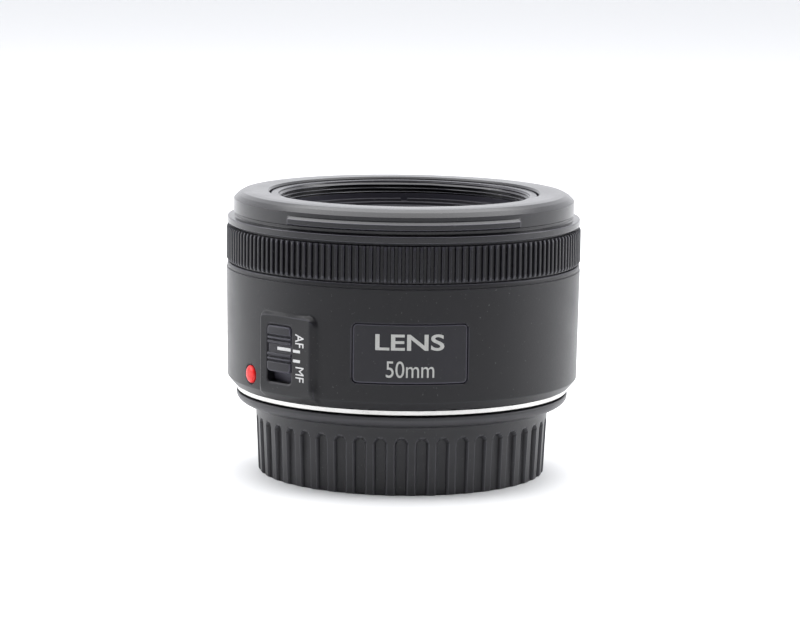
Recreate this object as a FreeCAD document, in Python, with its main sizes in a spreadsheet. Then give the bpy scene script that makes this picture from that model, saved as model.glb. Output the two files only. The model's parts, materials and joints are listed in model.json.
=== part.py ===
"""A compact 50 mm autofocus prime lens, standing front up on its rear cap.

Frame: millimetres, +Z along the optical axis towards the subject, origin at the centre of the rear cap's
foot. Bearings are degrees about +Z, measured from -Y (the side with the name plate) towards +X.
"""

import FreeCAD, Part
import Sketcher
import math
import os

V = FreeCAD.Vector
UP = V(0, 0, 1)

# Driving dimensions: millimetres, degrees and counts.
DIMENSIONS = {
    # whole lens
    "seat_height": 16.2, "lens_length": 38.8, "running_gap": 0.06, "fixed_gap": 0.04,
    # rear cap
    "cap_foot_radius": 28.1, "cap_waist_radius": 28.65, "cap_flange_radius": 32.5, "cap_flange_low": 13.4,
    "cap_shoulder_radius": 29.3, "cap_shoulder_top": 15.4,
    "cap_flange_top": 15.85, "cap_floor": 2.4, "cap_bore_radius": 27.0, "cap_lower_bore_radius": 25.9,
    "cap_claw_radius": 25.55, "cap_claw_low": 13.95, "cap_claw_top": 15.3, "cap_land_radius": 29.0,
    "cap_foot_recess": 0.5, "cap_recess_radius": 24.2, "flute_count": 45, "flute_width": 2.0,
    "flute_floor_radius": 27.55, "flute_top": 10.95,
    # metal bayonet mount
    "mount_flange_radius": 32.4, "mount_flange_thick": 1.0, "mount_throat_radius": 23.7,
    "mount_collar_radius": 25.3, "mount_collar_low": 11.4, "claw_radius": 26.7, "claw_low": 12.2,
    "claw_top": 13.85, "claw_arc": 54, "mount_screw_circle": 29.6, "mount_screw_count": 4,
    # outer barrel
    "barrel_foot_radius": 34.25, "barrel_top_radius": 34.55, "barrel_bore_radius": 32.9,
    "barrel_edge_radius": 32.95, "barrel_chamfer_top": 18.9, "barrel_floor_top": 18.6, "barrel_top": 41.3,
    "barrel_lip_radius": 34.4, "barrel_hole_radius": 24.0,
    # switch, pad, plate and index
    "pad_bearing": -42, "pad_face": 34.75, "pad_left": -4.8, "pad_right": 8.3, "pad_low": 19.2,
    "pad_top": 34.2, "pad_round": 1.5, "slot_half_width": 3.15, "slot_low": 21.1, "slot_high": 32.1,
    "slot_round": 0.8, "knob_half_width": 3.05, "knob_low": 23.15, "knob_high": 31.95, "knob_face": 35.0,
    "knob_round": 0.75,
    "switch_travel": 1.9, "plate_bearing": 2.5, "plate_half_width": 10.9, "plate_low": 22.6,
    "plate_high": 33.7, "plate_face": 34.36, "plate_depth": 0.5, "plate_round": 0.9,
    "index_bearing": -57.6, "index_height": 21.45, "index_radius": 1.7, "index_depth": 1.0,
    # focus ring
    "ring_low": 41.6, "ring_high": 48.3, "ring_radius": 34.6, "ring_skirt_radius": 34.05, "rib_count": 160,
    "rib_gap_width": 0.5, "rib_gap_depth": 0.5, "encoder_low": 38.4, "encoder_radius": 32.55,
    # ring carrier and front cover
    "carrier_radius": 31.6, "carrier_bore_radius": 30.4, "carrier_top": 50.0, "cover_collar_low": 48.9,
    "cover_collar_radius": 34.4, "cover_rim_radius": 33.2, "cover_bore_radius": 26.3, "cover_wall": 1.3,
    "cover_screw_circle": 29.0, "cover_screw_count": 3, "hood_lug_half_arc": 41,
    # main frame, cam ring and followers
    "frame_floor_top": 20.6, "frame_radius": 31.8, "guide_radius": 22.4, "guide_top": 43.9,
    "cam_radius": 23.8, "cam_top": 43.3,
    "follower_radius": 1.2, "follower_height": 27.0, "follower_bearing": 30, "focus_travel": 10.5,
    "cam_arc": 80, "sector_low": 36.0, "sector_high": 39.2,
    "carrier_screw_circle": 29.3, "carrier_screw_bearing": 80,
    # inner barrel
    "tube_radius": 21.2, "tube_bore_radius": 20.0, "tube_low": 22.0, "skirt_radius": 26.0,
    "skirt_bore_radius": 24.6, "skirt_low": 40.6, "inner_top": 54.5, "filter_radius": 24.5,
    "filter_low": 51.9, "trim_radius": 23.85, "web_low": 44.6, "web_top": 46.0,
    # focus gears
    "focus_module": 0.4, "sector_teeth": 124, "idler_teeth": 12, "wheel_module": 0.25, "wheel_teeth": 24,
    "pinion_teeth": 12, "motor_radius": 3.0, "idler_bearing": 150,
    # iris
    "blade_count": 7, "blade_thick": 0.1, "blade_pitch": 0.14, "blade_low": 27.65, "blade_inner": 10.7,
    "blade_outer": 16.5, "pivot_circle": 17.7, "drive_angle": 15, "iris_pin_radius": 0.4,
    "blade_swing": 33, "ring_swing": 12, "iris_module": 0.25, "iris_ring_teeth": 110,
    "iris_pinion_teeth": 20, "iris_motor_bearing": 60,
}

# Spherical elements, front to rear. Both vertices are heights, a curve is a radius of curvature (positive
# when its centre lies towards the camera), and low and high are the ends of the blank.
ELEMENT_COLUMNS = ("front", "rear", "front_curve", "rear_curve", "rim", "low", "high")
ELEMENTS = {
    "lens_element_1": (47.6, 43.1, 36.4, 217.6, 15.4, 42.6, 48.0),
    "lens_element_2": (42.95, 38.45, 22.8, 32.0, 13.4, 35.55, 43.5),
    "lens_element_3": (37.05, 35.65, 49.7, 16.0, 11.8, 32.2, 37.5),
    "lens_element_4": (23.05, 21.75, -17.3, 60.0, 10.2, 20.9, 26.1),
    "lens_element_5": (21.73, 15.25, 60.0, -25.5, 12.0, 15.0, 22.0),
    "lens_element_6": (15.05, 11.05, 120.0, -42.0, 13.4, 11.0, 15.2),
}
for element, sizes in ELEMENTS.items():
    for column, size in zip(ELEMENT_COLUMNS, sizes):
        DIMENSIONS[f"{element}_{column}"] = size


class Size:
    """A number together with the spreadsheet expression that it comes from."""

    def __init__(self, value, text):
        self.value = float(value)
        self.text = text

    def __add__(self, other):
        other = as_size(other)
        return Size(self.value + other.value, f"({self.text} + {other.text})")

    def __sub__(self, other):
        other = as_size(other)
        return Size(self.value - other.value, f"({self.text} - {other.text})")

    def __mul__(self, other):
        other = as_size(other)
        return Size(self.value * other.value, f"({self.text} * {other.text})")

    def __truediv__(self, other):
        other = as_size(other)
        return Size(self.value / other.value, f"({self.text} / {other.text})")

    def __neg__(self):
        return Size(-self.value, f"(0 - {self.text})")


def as_size(number):
    """A Size as it is, or a plain number as a Size."""
    return number if isinstance(number, Size) else Size(number, f"{number:g}")


def dim(alias):
    """The Size of one cell of the sheet."""
    return Size(DIMENSIONS[alias], f"Dims.{alias}")


def mm(alias):
    """The plain value of one cell of the sheet."""
    return float(DIMENSIONS[alias])


doc = FreeCAD.newDocument("PrimeLens")
sheet = doc.addObject("Spreadsheet::Sheet", "Dims")
for row, (alias, value) in enumerate(DIMENSIONS.items(), start=1):
    sheet.set(f"A{row}", alias.replace("_", " "))
    sheet.set(f"B{row}", f"{value:g}")
    sheet.setAlias(f"B{row}", alias)
doc.recompute()

NODES = []


# ---------------------------------------------------------------- building blocks


def keep(thing, name):
    """Give a finished sub-part its name and list it."""
    thing.Label = name
    NODES.append(thing)
    return thing


def new_body(name):
    """An empty PartDesign body that is one sub-part."""
    body = doc.addObject("PartDesign::Body", name)
    body.AllowCompound = True
    return keep(body, name)


def sketch_on(body, role, lift=None, bearing=None):
    """A sketch on one of the body's origin planes, lifted along its normal and turned to a bearing."""
    sketch = body.newObject("Sketcher::SketchObject", f"{body.Name}_sketch")
    plane = next(f for f in body.Origin.OriginFeatures if f.Role == role)
    sketch.AttachmentSupport = [(plane, "")]
    sketch.MapMode = "FlatFace"
    lift = as_size(lift if lift is not None else 0)
    turn = FreeCAD.Rotation(V(0, 1, 0), bearing.value) if bearing else FreeCAD.Rotation()
    sketch.AttachmentOffset = FreeCAD.Placement(turn.multVec(V(0, 0, lift.value)), turn)
    if bearing:
        sketch.setExpression("AttachmentOffset.Base.x", f"{lift.text} * sin({bearing.text} * 1 deg)")
        sketch.setExpression("AttachmentOffset.Base.z", f"{lift.text} * cos({bearing.text} * 1 deg)")
    else:
        sketch.setExpression("AttachmentOffset.Base.z", lift.text)
    return sketch


def drive(sketch, kind, geo, point, size):
    """Hold one point's distance from the sketch's origin at a driven size."""
    if abs(size.value) < 1e-9:
        axis = -2 if kind == "DistanceX" else -1
        sketch.addConstraint(Sketcher.Constraint("PointOnObject", geo, point, axis))
        return
    if size.value < 0:
        index = sketch.addConstraint(Sketcher.Constraint(kind, geo, point, -1, 1, -size.value))
        sketch.setExpression(f"Constraints[{index}]", (-size).text)
        return
    index = sketch.addConstraint(Sketcher.Constraint(kind, -1, 1, geo, point, size.value))
    sketch.setExpression(f"Constraints[{index}]", size.text)


def add_outline(sketch, points):
    """A closed outline of straight lines with every corner driven from the sheet."""
    points = [(as_size(x), as_size(y)) for x, y in points]
    first = sketch.GeometryCount
    corners = [V(x.value, y.value, 0) for x, y in points]
    lines = [Part.LineSegment(a, b) for a, b in zip(corners, corners[1:] + corners[:1])]
    sketch.addGeometry(lines, False)
    count = len(points)
    joins = [("Coincident", first + i, 2, first + (i + 1) % count, 1) for i in range(count)]
    sketch.addConstraint([Sketcher.Constraint(*join) for join in joins])
    for i, (x, y) in enumerate(points):
        drive(sketch, "DistanceX", first + i, 1, x)
        drive(sketch, "DistanceY", first + i, 1, y)


def add_circle(sketch, x, y, radius):
    """A circle with its centre and radius driven from the sheet."""
    x, y, radius = as_size(x), as_size(y), as_size(radius)
    geo = sketch.addGeometry(Part.Circle(V(x.value, y.value, 0), UP, radius.value), False)
    drive(sketch, "DistanceX", geo, 3, x)
    drive(sketch, "DistanceY", geo, 3, y)
    index = sketch.addConstraint(Sketcher.Constraint("Radius", geo, radius.value))
    sketch.setExpression(f"Constraints[{index}]", radius.text)


def arc_sketch(body, lift, bore, radius, half_angle, bearing):
    """A sketch of the stretch of a ring that lies within half_angle degrees of a bearing."""
    sketch = sketch_on(body, "XY_Plane", lift)
    turn = FreeCAD.Rotation(UP, bearing.value)
    sketch.AttachmentOffset = FreeCAD.Placement(sketch.AttachmentOffset.Base, turn)
    half = math.radians(half_angle)
    bore, radius = as_size(bore), as_size(radius)
    corners = []
    for size, side in ((radius, -1), (radius, 1), (bore, 1), (bore, -1)):
        corners.append(V(side * size.value * math.sin(half), -size.value * math.cos(half), 0))
    outer = Part.Arc(corners[0], V(0, -radius.value, 0), corners[1])
    right = Part.LineSegment(corners[1], corners[2])
    inner = Part.Arc(corners[3], V(0, -bore.value, 0), corners[2])
    left = Part.LineSegment(corners[3], corners[0])
    sketch.addGeometry([outer, right, inner, left], False)
    for line, arc, end, tip in ((1, 0, 1, 2), (1, 2, 2, 2), (3, 2, 1, 1), (3, 0, 2, 1)):
        sketch.addConstraint(Sketcher.Constraint("Coincident", line, end, arc, tip))
    for arc, size in ((0, radius), (2, bore)):
        sketch.addConstraint(Sketcher.Constraint("Coincident", arc, 3, -1, 1))
        index = sketch.addConstraint(Sketcher.Constraint("Radius", arc, size.value))
        sketch.setExpression(f"Constraints[{index}]", size.text)
    for line in (1, 3):
        sketch.addConstraint(Sketcher.Constraint("PointOnObject", -1, 1, line))
    return sketch


def box_outline(left, right, low, high):
    """The four corners of an upright rectangle."""
    return [(left, low), (right, low), (right, high), (left, high)]


def feature(body, kind, sketch):
    """A PartDesign feature of the given kind made from a sketch."""
    made = body.newObject(f"PartDesign::{kind}", f"{body.Name}_{kind.lower()}")
    made.Profile = sketch
    return made


def turned(name, outline):
    """A body of revolution about Z from its (radius, height) outline."""
    body = new_body(name)
    sketch = sketch_on(body, "XZ_Plane")
    add_outline(sketch, outline)
    turn = feature(body, "Revolution", sketch)
    turn.ReferenceAxis = (sketch, ["V_Axis"])
    turn.Angle = 360
    doc.recompute()
    return body


def along(body, kind, sketch, length, reverse=False):
    """A Pad (along the sketch's normal) or a Pocket (against it) of a driven length, or the reverse."""
    length = as_size(length)
    made = feature(body, kind, sketch)
    made.Reversed = reverse
    made.Length = length.value
    made.setExpression("Length", length.text)
    doc.recompute()
    return made


def around(body, original, count):
    """Repeat a feature evenly about Z."""
    pattern = body.newObject("PartDesign::PolarPattern", f"{body.Name}_around")
    pattern.Originals = [original]
    pattern.Axis = (next(f for f in body.Origin.OriginFeatures if f.Role == "Z_Axis"), [""])
    pattern.Angle = 360
    pattern.Occurrences = int(as_size(count).value)
    pattern.setExpression("Occurrences", as_size(count).text)
    body.Tip = pattern
    doc.recompute()
    return pattern


def near_edges(thing, test):
    """Names of the shape's edges whose middle point passes a test."""
    edges = []
    for number, edge in enumerate(thing.Shape.Edges, start=1):
        middle = edge.valueAt((edge.FirstParameter + edge.LastParameter) / 2)
        if test(edge, middle):
            edges.append(f"Edge{number}")
    return edges


def rounded(body, test, radius):
    """A fillet of a driven radius on the edges that pass a test."""
    base = body.Tip
    names = near_edges(base, test)
    if not names:
        raise RuntimeError(f"no edges to round on {body.Label}")
    fillet = body.newObject("PartDesign::Fillet", f"{body.Name}_fillet")
    fillet.Base = (base, names)
    fillet.Radius = as_size(radius).value
    fillet.setExpression("Radius", as_size(radius).text)
    doc.recompute()
    return fillet


def plain(name, shape):
    """A sub-part whose shape comes straight from Part's functions."""
    part = doc.addObject("Part::Feature", name)
    part.Shape = shape
    return keep(part, name)


def at_bearing(radius, bearing, height):
    """The point at a radius, a bearing and a height."""
    angle = math.radians(bearing)
    return V(radius * math.sin(angle), -radius * math.cos(angle), height)


def rod(radius, low, high, centre=V(0, 0, 0)):
    """An upright round bar."""
    return Part.makeCylinder(radius, high - low, V(centre.x, centre.y, low), UP)


def tube(bore, radius, low, high, centre=V(0, 0, 0)):
    """An upright round tube."""
    return rod(radius, low, high, centre).cut(rod(bore, low - 1, high + 1, centre))


def wedge(radius, start, end, low, high):
    """A pie slice from one bearing to another, to cut an arc out of a ring."""
    steps = max(2, int(abs(end - start) / 20) + 1)
    reach = radius / math.cos(math.radians(abs(end - start) / steps / 2))
    rim = [at_bearing(reach, start + (end - start) * i / steps, low) for i in range(steps + 1)]
    outline = Part.makePolygon([V(0, 0, low), *rim, V(0, 0, low)])
    return Part.Face(outline).extrude(V(0, 0, high - low))


def arc_block(bore, radius, start, end, low, high):
    """The stretch of a tube between two bearings."""
    return tube(bore, radius, low, high).common(wedge(radius + 1, start, end, low, high))


def screw(head_radius, head, shank_radius, shank, point, axis):
    """A round-head screw with a cross recess; point is where the head meets the work."""
    body = Part.makeCylinder(shank_radius, shank, point, axis)
    top = Part.makeCylinder(head_radius, head, point, -axis)
    slot = Part.makeBox(head_radius * 1.1, head_radius * 0.28, head * 0.6)
    slot.translate(V(-head_radius * 0.55, -head_radius * 0.14, 0))
    cross = slot.fuse(slot.rotated(V(0, 0, 0), UP, 90))
    cross.Placement = FreeCAD.Placement(point - axis * head, FreeCAD.Rotation(UP, axis))
    return body.fuse(top).removeSplitter().cut(cross)


def involute(angle):
    """The involute function of a pressure angle in radians."""
    return math.tan(angle) - angle


def gear_face(teeth, module, first, count, inner_radius=None):
    """A gear's outline face about Z: count teeth from the bearing first, all round when count is teeth."""
    pressure = math.radians(20)
    pitch = teeth * module / 2
    base = pitch * math.cos(pressure)
    root = pitch - 1.1 * module
    tip = pitch + 0.8 * module
    backlash = 0.12 * module

    def half(radius):
        turn = involute(math.acos(min(1, base / radius)))
        return (math.pi / 2 - backlash / module) / teeth + involute(pressure) - turn

    def spot(radius, angle):
        return at_bearing(radius, math.degrees(angle), 0)

    start = max(base, root)
    middle = (start + tip) / 2
    edges = []
    for i in range(count):
        centre = math.radians(first) + 2 * math.pi * i / teeth
        rise = [spot(r, centre - half(r)) for r in (start, middle, tip)]
        fall = [spot(r, centre + half(r)) for r in (tip, middle, start)]
        if root < base:
            edges.append(Part.LineSegment(spot(root, centre - half(start)), rise[0]))
        edges.append(Part.Arc(*rise))
        edges.append(Part.Arc(rise[2], spot(tip, centre), fall[0]))
        edges.append(Part.Arc(*fall))
        if root < base:
            edges.append(Part.LineSegment(fall[2], spot(root, centre + half(start))))
        if i < count - 1 or count == teeth:
            gap = centre + math.pi / teeth
            last = spot(root, centre + half(start))
            following = spot(root, centre + 2 * math.pi / teeth - half(start))
            edges.append(Part.Arc(last, spot(root, gap), following))
    if count < teeth:
        start_angle = math.radians(first) - half(start)
        end_angle = math.radians(first) + 2 * math.pi * (count - 1) / teeth + half(start)
        outer = (spot(root, end_angle), spot(root, start_angle))
        inner = (spot(inner_radius, end_angle), spot(inner_radius, start_angle))
        edges.append(Part.LineSegment(outer[0], inner[0]))
        edges.append(Part.Arc(inner[0], spot(inner_radius, (start_angle + end_angle) / 2), inner[1]))
        edges.append(Part.LineSegment(inner[1], outer[1]))
    return Part.Face(Part.Wire(Part.__sortEdges__([edge.toShape() for edge in edges])))


def gear(teeth, module, phase, low, high, centre=V(0, 0, 0)):
    """A spur gear with one tooth centred on the bearing phase."""
    solid = gear_face(teeth, module, phase, teeth).extrude(V(0, 0, high - low))
    solid.translate(V(centre.x, centre.y, low))
    return solid


# ---------------------------------------------------------------- shells


def make_rear_cap():
    """The cap that the lens stands on: a fluted cup whose inner claws hold the bayonet."""
    claw_low = dim("cap_claw_low")
    land = dim("seat_height") - 0.05
    flange_low = dim("cap_flange_low")
    wide = dim("cap_flange_radius") - dim("cap_shoulder_radius")
    tall = dim("cap_shoulder_top") - flange_low
    shoulder = []
    for angle in (math.radians(18 * i) for i in range(6)):
        out, up = wide * math.sin(angle), tall * (1 - math.cos(angle))
        shoulder.append((dim("cap_shoulder_radius") + out, flange_low + up))
    body = turned("rear_cap", [
        (0, dim("cap_foot_recess")),
        (dim("cap_recess_radius"), dim("cap_foot_recess")),
        (dim("cap_recess_radius"), 0),
        (dim("cap_foot_radius"), 0),
        (dim("cap_waist_radius"), dim("flute_top")),
        (dim("cap_waist_radius"), flange_low - 0.2),
        *shoulder,
        (dim("cap_flange_radius"), dim("cap_flange_top") - 0.4),
        (dim("cap_flange_radius") - 0.4, dim("cap_flange_top")),
        (dim("cap_land_radius"), dim("cap_flange_top")),
        (dim("cap_land_radius"), land),
        (dim("cap_bore_radius"), land),
        (dim("cap_bore_radius"), claw_low - 2),
        (dim("cap_lower_bore_radius"), claw_low - 3),
        (dim("cap_lower_bore_radius"), dim("cap_floor")),
        (0, dim("cap_floor")),
    ])
    sketch = sketch_on(body, "XZ_Plane", dim("cap_foot_radius") + 2, Size(0, "0"))
    half = dim("flute_width") / 2
    add_outline(sketch, [
        (-half, -1),
        (half, -1),
        (half, dim("flute_top") - 0.9),
        (half * 0.6, dim("flute_top") - 0.2),
        (0, dim("flute_top")),
        (-(half * 0.6), dim("flute_top") - 0.2),
        (-half, dim("flute_top") - 0.9),
    ])
    depth = dim("cap_foot_radius") + 2 - dim("flute_floor_radius")
    around(body, along(body, "Pocket", sketch, depth), dim("flute_count"))
    add_claws(body, dim("cap_claw_radius"), dim("cap_bore_radius") + 0.4, claw_low, dim("cap_claw_top"))


def add_claws(body, bore, radius, low, high):
    """Three claws of the bayonet, each an arc between two radii, padded up from low to high."""
    sketch = arc_sketch(body, low, bore, radius, mm("claw_arc") / 2, Size(0, "0"))
    around(body, along(body, "Pad", sketch, high - low), 3)


def make_bayonet_mount():
    """The bright metal flange with its collar, three claws, screw holes and lock pin slot."""
    seat = dim("seat_height")
    top = seat + dim("mount_flange_thick")
    body = turned("bayonet_mount", [
        (dim("mount_throat_radius"), dim("mount_collar_low")),
        (dim("mount_collar_radius") - 0.3, dim("mount_collar_low")),
        (dim("mount_collar_radius"), dim("mount_collar_low") + 0.3),
        (dim("mount_collar_radius"), seat),
        (dim("mount_flange_radius") - 0.12, seat),
        (dim("mount_flange_radius"), seat + 0.12),
        (dim("mount_flange_radius"), top - 0.12),
        (dim("mount_flange_radius") - 0.12, top),
        (dim("mount_throat_radius"), top),
    ])
    add_claws(body, dim("mount_collar_radius") - 0.4, dim("claw_radius"), dim("claw_low"), dim("claw_top"))
    sketch = sketch_on(body, "XY_Plane", top)
    add_circle(sketch, 0, -dim("mount_screw_circle"), 1.0)
    around(body, along(body, "Pocket", sketch, dim("mount_flange_thick")), dim("mount_screw_count"))
    sketch = sketch_on(body, "XY_Plane", seat + 0.55)
    add_circle(sketch, 0, -dim("mount_screw_circle"), 1.75)
    around(body, along(body, "Pocket", sketch, 0.55), dim("mount_screw_count"))
    side = dim("mount_screw_circle") * 0.70711
    sketch = sketch_on(body, "XY_Plane", seat + 0.7)
    add_circle(sketch, side, side, 1.3)
    along(body, "Pocket", sketch, 0.7)
    for bearing in (60, 240):
        sketch = sketch_on(body, "XZ_Plane", dim("mount_collar_radius") + 1, Size(bearing, f"{bearing}"))
        add_circle(sketch, 0, 14.9, 0.75)
        along(body, "Pocket", sketch, 3)


def make_outer_barrel():
    """The fixed outer shell, with the raised switch pad, the switch slot and the seats of plate and index."""
    floor_low = dim("seat_height") + dim("mount_flange_thick")
    top = dim("barrel_top")
    body = turned("outer_barrel", [
        (dim("barrel_hole_radius"), floor_low),
        (31.6, floor_low),
        (31.7, floor_low + 0.15),
        (dim("barrel_edge_radius"), floor_low + 0.15),
        (dim("barrel_foot_radius"), dim("barrel_chamfer_top")),
        (dim("barrel_top_radius"), top - 1.1),
        (dim("barrel_top_radius") - 0.25, top - 1.05),
        (dim("barrel_top_radius") - 0.25, top - 0.9),
        (dim("barrel_lip_radius"), top - 0.85),
        (dim("barrel_lip_radius"), top - 0.25),
        (dim("barrel_lip_radius") - 0.25, top),
        (dim("barrel_bore_radius"), top),
        (dim("barrel_bore_radius"), dim("barrel_floor_top")),
        (dim("barrel_hole_radius"), dim("barrel_floor_top")),
    ])
    bearing = dim("pad_bearing")
    root = dim("barrel_bore_radius") + 0.1
    sketch = sketch_on(body, "XZ_Plane", root, bearing)
    add_outline(sketch, box_outline(dim("pad_left"), dim("pad_right"), dim("pad_low"), dim("pad_top")))
    along(body, "Pad", sketch, dim("pad_face") - root)
    rounded(body, is_pad_corner, dim("pad_round"))
    sketch = sketch_on(body, "XZ_Plane", dim("pad_face") + 1, bearing)
    half = dim("slot_half_width")
    add_outline(sketch, box_outline(-half, half, dim("slot_low"), dim("slot_high")))
    along(body, "Pocket", sketch, 4)
    rounded(body, lambda edge, point: is_switch_corner("slot", point), dim("slot_round"))
    cut_plate_seat(body)
    sketch = sketch_on(body, "XZ_Plane", dim("barrel_top_radius") + 1, dim("index_bearing"))
    add_circle(sketch, 0, dim("index_height"), dim("index_radius") + dim("fixed_gap"))
    along(body, "Pocket", sketch, dim("index_depth") + 1.25)
    sketch = sketch_on(body, "XY_Plane", dim("barrel_floor_top"))
    add_circle(sketch, 0, -dim("mount_screw_circle"), 0.95)
    around(body, along(body, "Pocket", sketch, 1.5), dim("mount_screw_count"))


def pad_frame(point):
    """A point as (across, out, height) in the switch pad's own frame."""
    angle = math.radians(mm("pad_bearing"))
    across = point.x * math.cos(angle) + point.y * math.sin(angle)
    out = point.x * math.sin(angle) - point.y * math.cos(angle)
    return across, out, point.z


def is_pad_corner(edge, point):
    """Whether an edge is one of the pad's two upper corners, which run outwards."""
    across, out, height = pad_frame(point)
    near_side = min(abs(across - mm("pad_left")), abs(across - mm("pad_right"))) < 1e-3
    return near_side and abs(height - mm("pad_top")) < 1e-3 and out > 30


def is_switch_corner(kind, point):
    """Whether an edge is one of the four corners of the switch's slot or knob, which run outwards."""
    across, out, height = pad_frame(point)
    near_side = abs(abs(across) - mm(f"{kind}_half_width")) < 1e-3
    near_end = min(abs(height - mm(f"{kind}_low")), abs(height - mm(f"{kind}_high"))) < 1e-3
    return near_side and near_end and out > 30


def cut_plate_seat(body):
    """The shallow curved seat of the name plate."""
    high = dim("plate_high") + dim("fixed_gap")
    floor = dim("plate_face") - dim("plate_depth") - dim("fixed_gap")
    half = plate_half_angle() + 0.1
    sketch = arc_sketch(body, high, floor, dim("plate_face") + 2, half, dim("plate_bearing"))
    along(body, "Pocket", sketch, high - dim("plate_low") + dim("fixed_gap"))
    rounded(body, is_plate_corner, dim("plate_round"))


def make_name_plate():
    """The curved plate let into the barrel's front."""
    body = new_body("name_plate")
    floor = dim("plate_face") - dim("plate_depth")
    half = plate_half_angle()
    sketch = arc_sketch(body, dim("plate_low"), floor, dim("plate_face"), half, dim("plate_bearing"))
    along(body, "Pad", sketch, dim("plate_high") - dim("plate_low"))
    rounded(body, is_plate_corner, dim("plate_round"))


def plate_half_angle():
    """Half the arc that the name plate covers, in degrees."""
    return math.degrees(mm("plate_half_width") / mm("plate_face"))


def is_plate_corner(edge, point):
    """Whether an edge is one of the four short corner edges of the plate or of its seat."""
    bearing = math.degrees(math.atan2(point.x, -point.y)) - mm("plate_bearing")
    near_side = abs(abs(bearing) - plate_half_angle()) < 0.3
    near_end = min(abs(point.z - mm("plate_low")), abs(point.z - mm("plate_high"))) < 0.1
    return near_side and near_end and edge.Length < 1.5 and math.hypot(point.x, point.y) > 33


def barrel_radius_at(height):
    """Outer radius of the barrel's gently tapering wall."""
    low, high = mm("barrel_chamfer_top"), mm("barrel_top") - 1.1
    share = (height - low) / (high - low)
    return mm("barrel_foot_radius") + share * (mm("barrel_top_radius") - mm("barrel_foot_radius"))


def make_index_dot():
    """The domed index mark of the bayonet, let into the barrel's foot."""
    radius, rise = mm("index_radius"), 0.45
    face = barrel_radius_at(mm("index_height"))
    seat = mm("barrel_top_radius") - mm("index_depth") - 0.25 + mm("fixed_gap")
    ball_radius = (radius * radius + rise * rise) / (2 * rise)
    bearing, height = mm("index_bearing"), mm("index_height")
    outward = at_bearing(1, bearing, 0)
    pin = Part.makeCylinder(radius, face + rise - seat, at_bearing(seat, bearing, height), outward)
    ball = Part.makeSphere(ball_radius, at_bearing(face + rise - ball_radius, bearing, height))
    plain("index_dot", pin.common(ball))


def make_front_cover():
    """The fixed front shell: collar, rim with hood lugs, and the sleeve round the inner barrel."""
    low = dim("cover_collar_low")
    rim = dim("cover_rim_radius")
    top = dim("seat_height") + dim("lens_length")
    inside = rim - dim("cover_wall")
    body = turned("front_cover", [
        (dim("carrier_radius") + 0.15, low),
        (dim("cover_collar_radius"), low),
        (dim("cover_collar_radius"), low + 1.15),
        (dim("cover_collar_radius") - 0.15, low + 1.3),
        (rim + 0.1, low + 1.4),
        (rim - 0.15, low + 1.6),
        (rim - 0.15, low + 2.0),
        (rim, low + 2.15),
        (rim, top - 1.4),
        (rim - 0.8, top - 0.58),
        (rim - 1.3, top - 0.25),
        (rim - 1.9, top - 0.08),
        (rim - 2.8, top),
        (dim("cover_bore_radius") + 0.3, top),
        (dim("cover_bore_radius"), top - 0.3),
        (dim("cover_bore_radius"), low + 0.3),
        (dim("cover_bore_radius") + dim("cover_wall"), low + 0.3),
        (dim("cover_bore_radius") + dim("cover_wall"), top - 1.6),
        (inside, top - 1.4),
        (inside, dim("carrier_top") + 0.05),
        (dim("carrier_radius") + 0.15, dim("carrier_top") + 0.05),
    ])
    lug = arc_sketch(body, low + 2.2, rim - 0.4, rim + 0.6, mm("hood_lug_half_arc"), Size(0, "0"))
    around(body, along(body, "Pad", lug, 1.5), 2)
    sketch = sketch_on(body, "XY_Plane", dim("carrier_top"))
    add_circle(sketch, 0, -dim("cover_screw_circle"), 1.7)
    around(body, along(body, "Pad", sketch, 3.9), dim("cover_screw_count"))
    sketch = sketch_on(body, "XY_Plane", dim("carrier_top"))
    add_circle(sketch, 0, -dim("cover_screw_circle"), 0.69)
    around(body, along(body, "Pocket", sketch, 3.3, reverse=True), dim("cover_screw_count"))


def make_focus_ring():
    """The ribbed manual focus ring, which turns without end on the ring carrier."""
    bore = dim("carrier_radius") + dim("running_gap")
    low, high = dim("ring_low"), dim("ring_high")
    foot = dim("barrel_top") + 0.05
    body = turned("focus_ring", [
        (bore, foot),
        (dim("ring_skirt_radius"), foot),
        (dim("ring_skirt_radius"), low),
        (dim("ring_radius"), low),
        (dim("ring_radius"), high),
        (bore, high),
    ])
    sketch = sketch_on(body, "XY_Plane", high)
    half = dim("rib_gap_width") / 2
    deep = dim("ring_radius") - dim("rib_gap_depth")
    add_outline(sketch, [
        (half * 0.7, -deep),
        (half, -(dim("ring_radius") + 0.2)),
        (-half, -(dim("ring_radius") + 0.2)),
        (-(half * 0.7), -deep),
    ])
    around(body, along(body, "Pocket", sketch, high - low), dim("rib_count"))


def make_encoder_ring():
    """The comb under the focus ring that the sensor counts."""
    low, high = dim("encoder_low"), dim("barrel_top") + 0.05
    bore = dim("carrier_radius") + dim("running_gap") + 0.04
    body = turned("encoder_ring", box_outline(bore, dim("encoder_radius"), low, high))
    sketch = sketch_on(body, "XZ_Plane", dim("encoder_radius") + 1, Size(0, "0"))
    add_outline(sketch, box_outline(-0.6, 0.6, low - 1, low + 1.1))
    around(body, along(body, "Pocket", sketch, 2.5), 72)


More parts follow.
